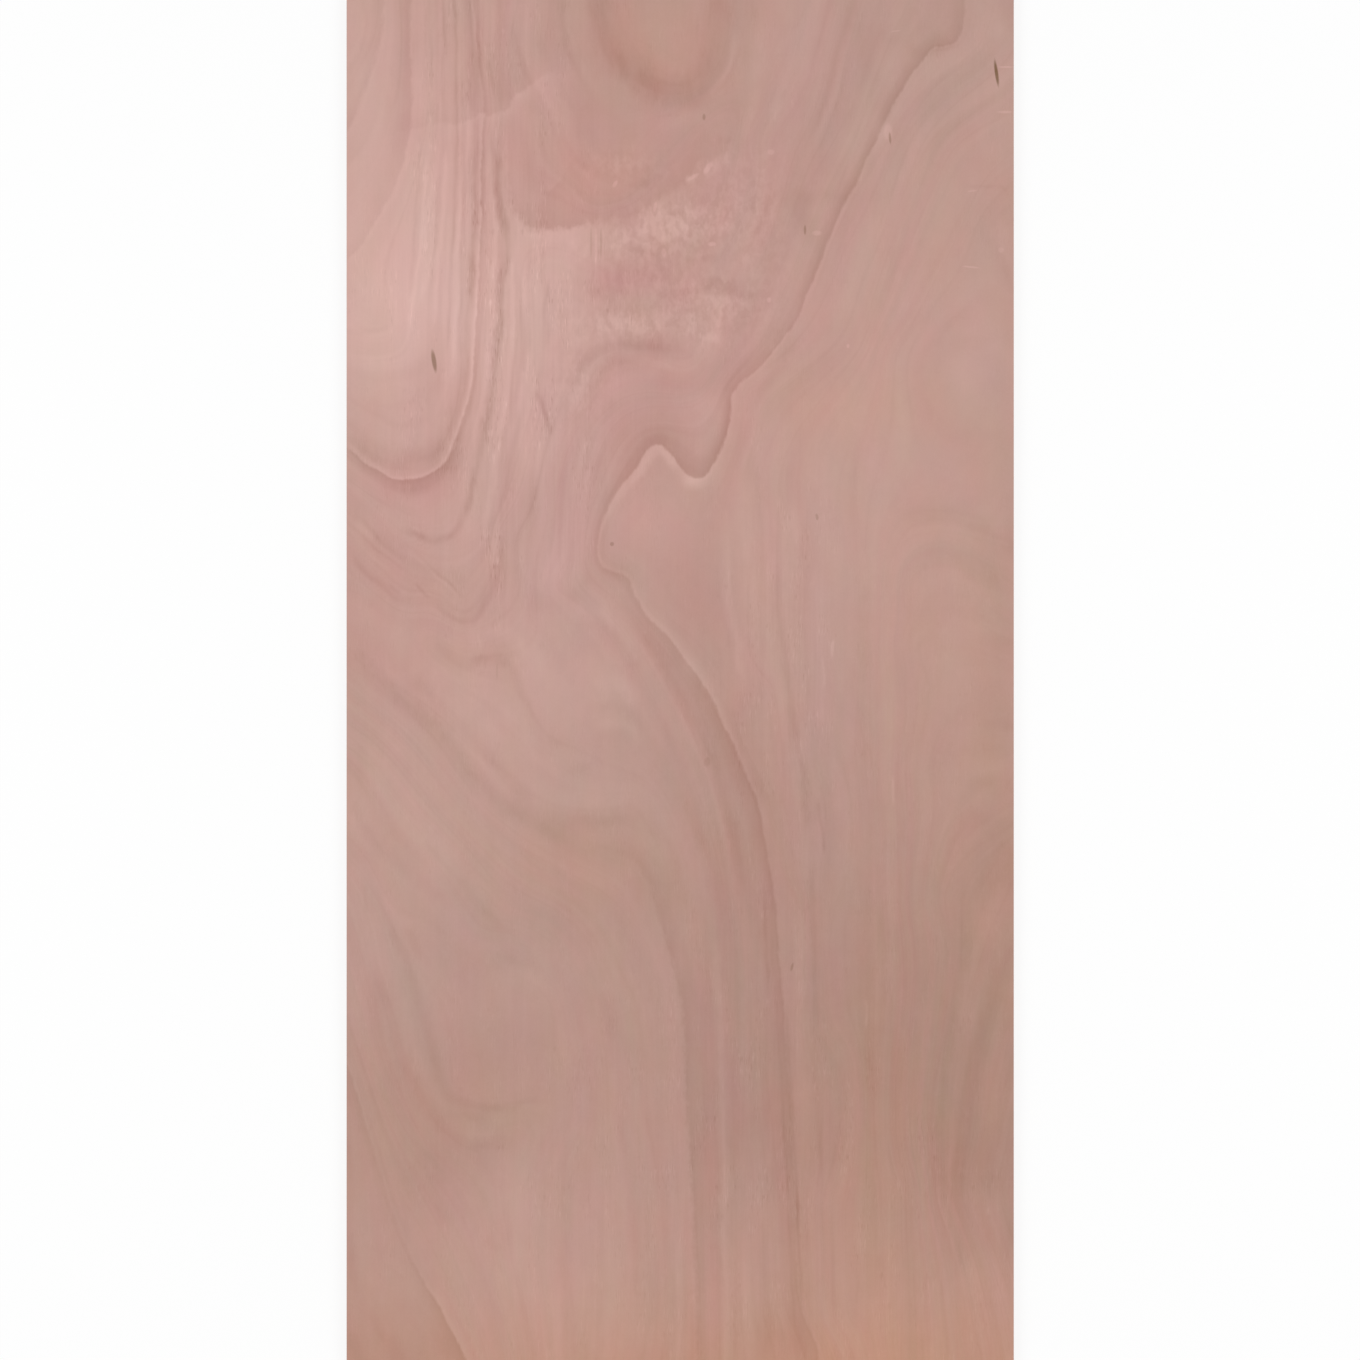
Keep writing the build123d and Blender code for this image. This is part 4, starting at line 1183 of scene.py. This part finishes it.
def mark_tone(finish, place, mark):
    """One mark: its tone inside a long oval, gone just outside it."""
    x, y, across, along, lean, amount = mark
    spot = {"Vector": place, "Location": ((x - MIDDLE_PX) * PX, (PHOTO_PX / 2 - y) * PX, THICKNESS),
            "Rotation": (0, 0, np.radians(lean)), "Scale": (across * PX, along * PX, 1)}
    moved = finish.lay("Mapping", spot, vector_type="TEXTURE").outputs[0]
    away = finish.lay("VectorMath", {0: moved}, operation="LENGTH").outputs["Value"]
    return finish.ease(away, *MARK_RIM, amount, 0.0)


def sanded(finish, colour, fibres, pores, rough_and_smooth, bump):
    """Closes a veneer: dark fibres rough and pale ones smooth, and the pores sunk in."""
    roughness = finish.ease(fibres, *FIBRE_RANGE, *rough_and_smooth)
    return finish.close(colour, roughness, finish.reckon("MULTIPLY_ADD", pores, PORE_DEPTH, fibres), bump)


def face_veneer(figure):
    """The good face: clouds, rings, ring edges, grain lines, torn patches, fibres and a few marks."""
    finish = Finish("face_veneer")
    place = finish.place()
    rings = finish.lay("Attribute", attribute_name="rings").outputs["Vector"]
    tone, rosy, amber = finish.stored("clouds")
    ring_share, fibre_share = finish.stored("shows")[:2]
    ragged = finish.swings(place, EDGE_RAGGEDNESS)
    frayed = finish.swings(place, LINE_RAGGEDNESS)
    edges = [ring_edge_tone(finish, name, ragged) for name in figure if name.startswith("edges")]
    lines = [grain_line_tone(finish, name, frayed) for name in figure if name.startswith("lines")]
    uneven = finish.blots(place, *LINE_STRENGTHS)
    fibres, pores = fibre_tones(finish, place)
    marks = finish.total([mark_tone(finish, place, mark) for mark in MARKS.values()])
    tone = finish.total([
        tone, finish.swings(place, MOTTLE), patch_tones(finish, place),
        finish.reckon("MULTIPLY", ring_tones(finish, rings), ring_share), *edges,
        finish.reckon("MULTIPLY", finish.total(lines), uneven),
        finish.reckon("MULTIPLY", fibres, fibre_share), marks])
    rosy = finish.total([
        rosy, finish.reckon("MULTIPLY", marks, MARK_ROSINESS),
        finish.swings(rings, RING_ROSINESS), finish.swings(place, FACE_ROSINESS)])
    amber = finish.total([amber, finish.swings(rings, RING_AMBER), finish.swings(place, FACE_AMBER)])
    colour = veneer_colour(finish, tone, rosy, amber)
    return sanded(finish, colour, fibres, pores, FACE_ROUGHNESS, FACE_BUMP)


def back_veneer():
    """The back: the same wood with plain wide rings, each darkening slowly and ending at once."""
    finish = Finish("back_veneer")
    place = finish.place()
    drift = finish.noise(place, BACK_RING_SIZE, detail=1.0)
    rings = finish.reckon("FRACT", finish.reckon("MULTIPLY", drift, BACK_RINGS))
    late = finish.reckon("POWER", rings, BACK_RING_POWER)
    ring_tone = finish.reckon("MULTIPLY_ADD", late, *BACK_RING_TONES)
    fibres, pores = fibre_tones(finish, place)
    tone = finish.total([
        ring_tone, fibres, finish.swings(place, BACK_CLOUDS), finish.swings(place, MOTTLE),
        finish.reckon("MULTIPLY", pores, BACK_PORE_TONE)])
    rosy = finish.swings(place, BACK_ROSINESS)
    colour = veneer_colour(finish, tone, rosy, finish.swings(place, BACK_AMBER))
    return sanded(finish, colour, fibres, pores, BACK_ROUGHNESS, BACK_BUMP)


def sawn_edge(name, runs_along_y):
    """A sawn edge: plies of long grain and end grain in turn, glue lines between them, and saw marks.

    The ply number is the height over the back ply, in core plies. An odd ply's grain runs along Y.
    """
    finish = Finish(name)
    place = finish.place()

    def swung(layers):
        """Layers of noise added up, turned to run along this edge."""
        turned = layers if runs_along_y else [((y, x, z), *rest) for (x, y, z), *rest in layers]
        return finish.swings(place, turned)

    height = finish.lay("SeparateXYZ", {"Vector": place}).outputs["Z"]
    ply = finish.reckon("DIVIDE", finish.reckon("SUBTRACT", height, FACE_PLY * MM), core_ply() * MM)
    half = finish.reckon("FRACT", finish.reckon("MULTIPLY", ply, 0.5))
    end_grain = finish.reckon("LESS_THAN" if runs_along_y else "GREATER_THAN", half, 0.5)
    seam = finish.ease(finish.reckon("PINGPONG", ply, 0.5), *GLUE_LINE_SHARES, 1.0, 0.0)
    number = finish.reckon("FLOOR", ply)
    own = finish.lay("TexWhiteNoise", {"W": number}, noise_dimensions="1D").outputs["Value"]
    own_tone, own_rosiness, own_amber = (finish.swing(own, amount) for amount in PLY_SWINGS)
    end_tone = finish.reckon("ADD", swung(END_GRAIN), END_GRAIN_TONE)
    grains = {"Factor": end_grain, "A": swung(LONG_GRAIN), "B": end_tone}
    grain = finish.lay("Mix", grains).outputs["Result"]
    sawn = swung(SAW_MARKS)
    tone = finish.total([grain, sawn, own_tone, swung(SAWN_CLOUDS)])
    wood = veneer_colour(finish, tone, own_rosiness, own_amber)
    colour = finish.lay("MixRGB", {"Fac": seam, "Color1": wood, "Color2": GLUE_BROWN}).outputs[0]
    roughness = finish.ease(end_grain, 0.0, 1.0, *SAWN_ROUGHNESS)
    return finish.close(colour, roughness, finish.total([sawn, grain]), SAWN_BUMP)


# The studio: floor, light and camera.

FLOOR_HALF = 60.0
FLOOR_DROP = 0.5 * MM
# How much of the floor, as the camera sees it, is plain white; the rest takes the shadow.
FLOOR_WHITE_SHARE = 0.82
WHITE = (1, 1, 1, 1)
PAPER = (0.9, 0.9, 0.9, 1)
WORLD_LEVEL = 0.5
LAMP_POWER = 171.0
LAMP_SIDE = 4.0
LAMP_REACH = 5.0
LAMP_LEAN = np.radians(45)
LENS_MM = 85.0
SENSOR_MM = 36.0


def seen_ray(tree):
    """One where a ray comes from the camera, a mirror or glass, else nothing."""
    path = tree.nodes.new("ShaderNodeLightPath")
    seen = path.outputs["Is Camera Ray"]
    for other in ("Is Glossy Ray", "Is Transmission Ray"):
        either = tree.nodes.new("ShaderNodeMath")
        either.operation = "MAXIMUM"
        tree.links.new(seen, either.inputs[0])
        tree.links.new(path.outputs[other], either.inputs[1])
        seen = either.outputs[0]
    return seen


def studio_floor():
    """A wide pale floor just under the sheet, white to the eye but for the sheet's soft shadow."""
    finish = Finish("studio_floor")
    paper = finish.lay("BsdfDiffuse", {"Color": PAPER})
    bright = finish.lay("BsdfDiffuse", {"Color": WHITE})
    white = finish.lay("Emission", {"Color": WHITE, "Strength": 1.0})
    looked_at = finish.lay("MixShader", {0: FLOOR_WHITE_SHARE, 1: bright.outputs[0], 2: white.outputs[0]})
    mixed = finish.lay("MixShader", {0: seen_ray(finish.tree), 1: paper.outputs[0], 2: looked_at.outputs[0]})
    finish.lay("OutputMaterial", {"Surface": mixed.outputs[0]})
    signs = ((-1, -1), (1, -1), (1, 1), (-1, 1))
    corners = [(x * FLOOR_HALF, y * FLOOR_HALF, -FLOOR_DROP) for x, y in signs]
    mesh = bpy.data.meshes.new("studio_floor")
    mesh.from_pydata(corners, [], [(0, 1, 2, 3)])
    mesh.materials.append(finish.material)
    floor = bpy.data.objects.new("studio_floor", mesh)
    bpy.context.collection.objects.link(floor)
    return floor


def studio_light():
    """An even white room, and a wide lamp high on each side of the sheet."""
    world = bpy.data.worlds.new("studio_room")
    world.use_nodes = True
    tree = world.node_tree
    room = tree.nodes["Background"]
    room.inputs["Color"].default_value = WHITE
    level = tree.nodes.new("ShaderNodeMapRange")
    level.inputs["To Min"].default_value = WORLD_LEVEL
    tree.links.new(seen_ray(tree), level.inputs["Value"])
    tree.links.new(level.outputs["Result"], room.inputs["Strength"])
    bpy.context.scene.world = world
    for name, side in (("left_lamp", -1), ("right_lamp", 1)):
        lamp = bpy.data.lights.new(name, "AREA")
        lamp.energy = LAMP_POWER
        lamp.size = LAMP_SIDE
        held = bpy.data.objects.new(name, lamp)
        held.location = (side * LAMP_REACH, 0, LAMP_REACH)
        held.rotation_euler = (0, side * LAMP_LEAN, 0)
        bpy.context.collection.objects.link(held)


def studio_camera():
    """A camera straight over the sheet, with the frame as tall on the face as the photograph is."""
    lens = bpy.data.cameras.new("overhead_camera")
    lens.lens = LENS_MM
    lens.sensor_width = SENSOR_MM
    camera = bpy.data.objects.new("overhead_camera", lens)
    off_centre = (PHOTO_PX / 2 - MIDDLE_PX) * PX
    camera.location = (off_centre, 0, THICKNESS + PHOTO_PX * PX * LENS_MM / SENSOR_MM)
    bpy.context.collection.objects.link(camera)
    bpy.context.scene.camera = camera


# The scene.

for left_over in ("Cube", "Light", "Camera"):
    if left_over in bpy.data.objects:
        bpy.data.objects.remove(bpy.data.objects[left_over])
bpy.context.scene.view_settings.view_transform = "Standard"

skin = panel_skin()
figure = figure_values(skin["places"])
finishes = [face_veneer(figure), back_veneer(),
            sawn_edge("long_edge_plies", True), sawn_edge("end_edge_plies", False)]
panel = make_panel(skin, figure, finishes)
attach(panel, "root")
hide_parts("plywood_sheet")

studio_floor()
studio_light()
studio_camera()
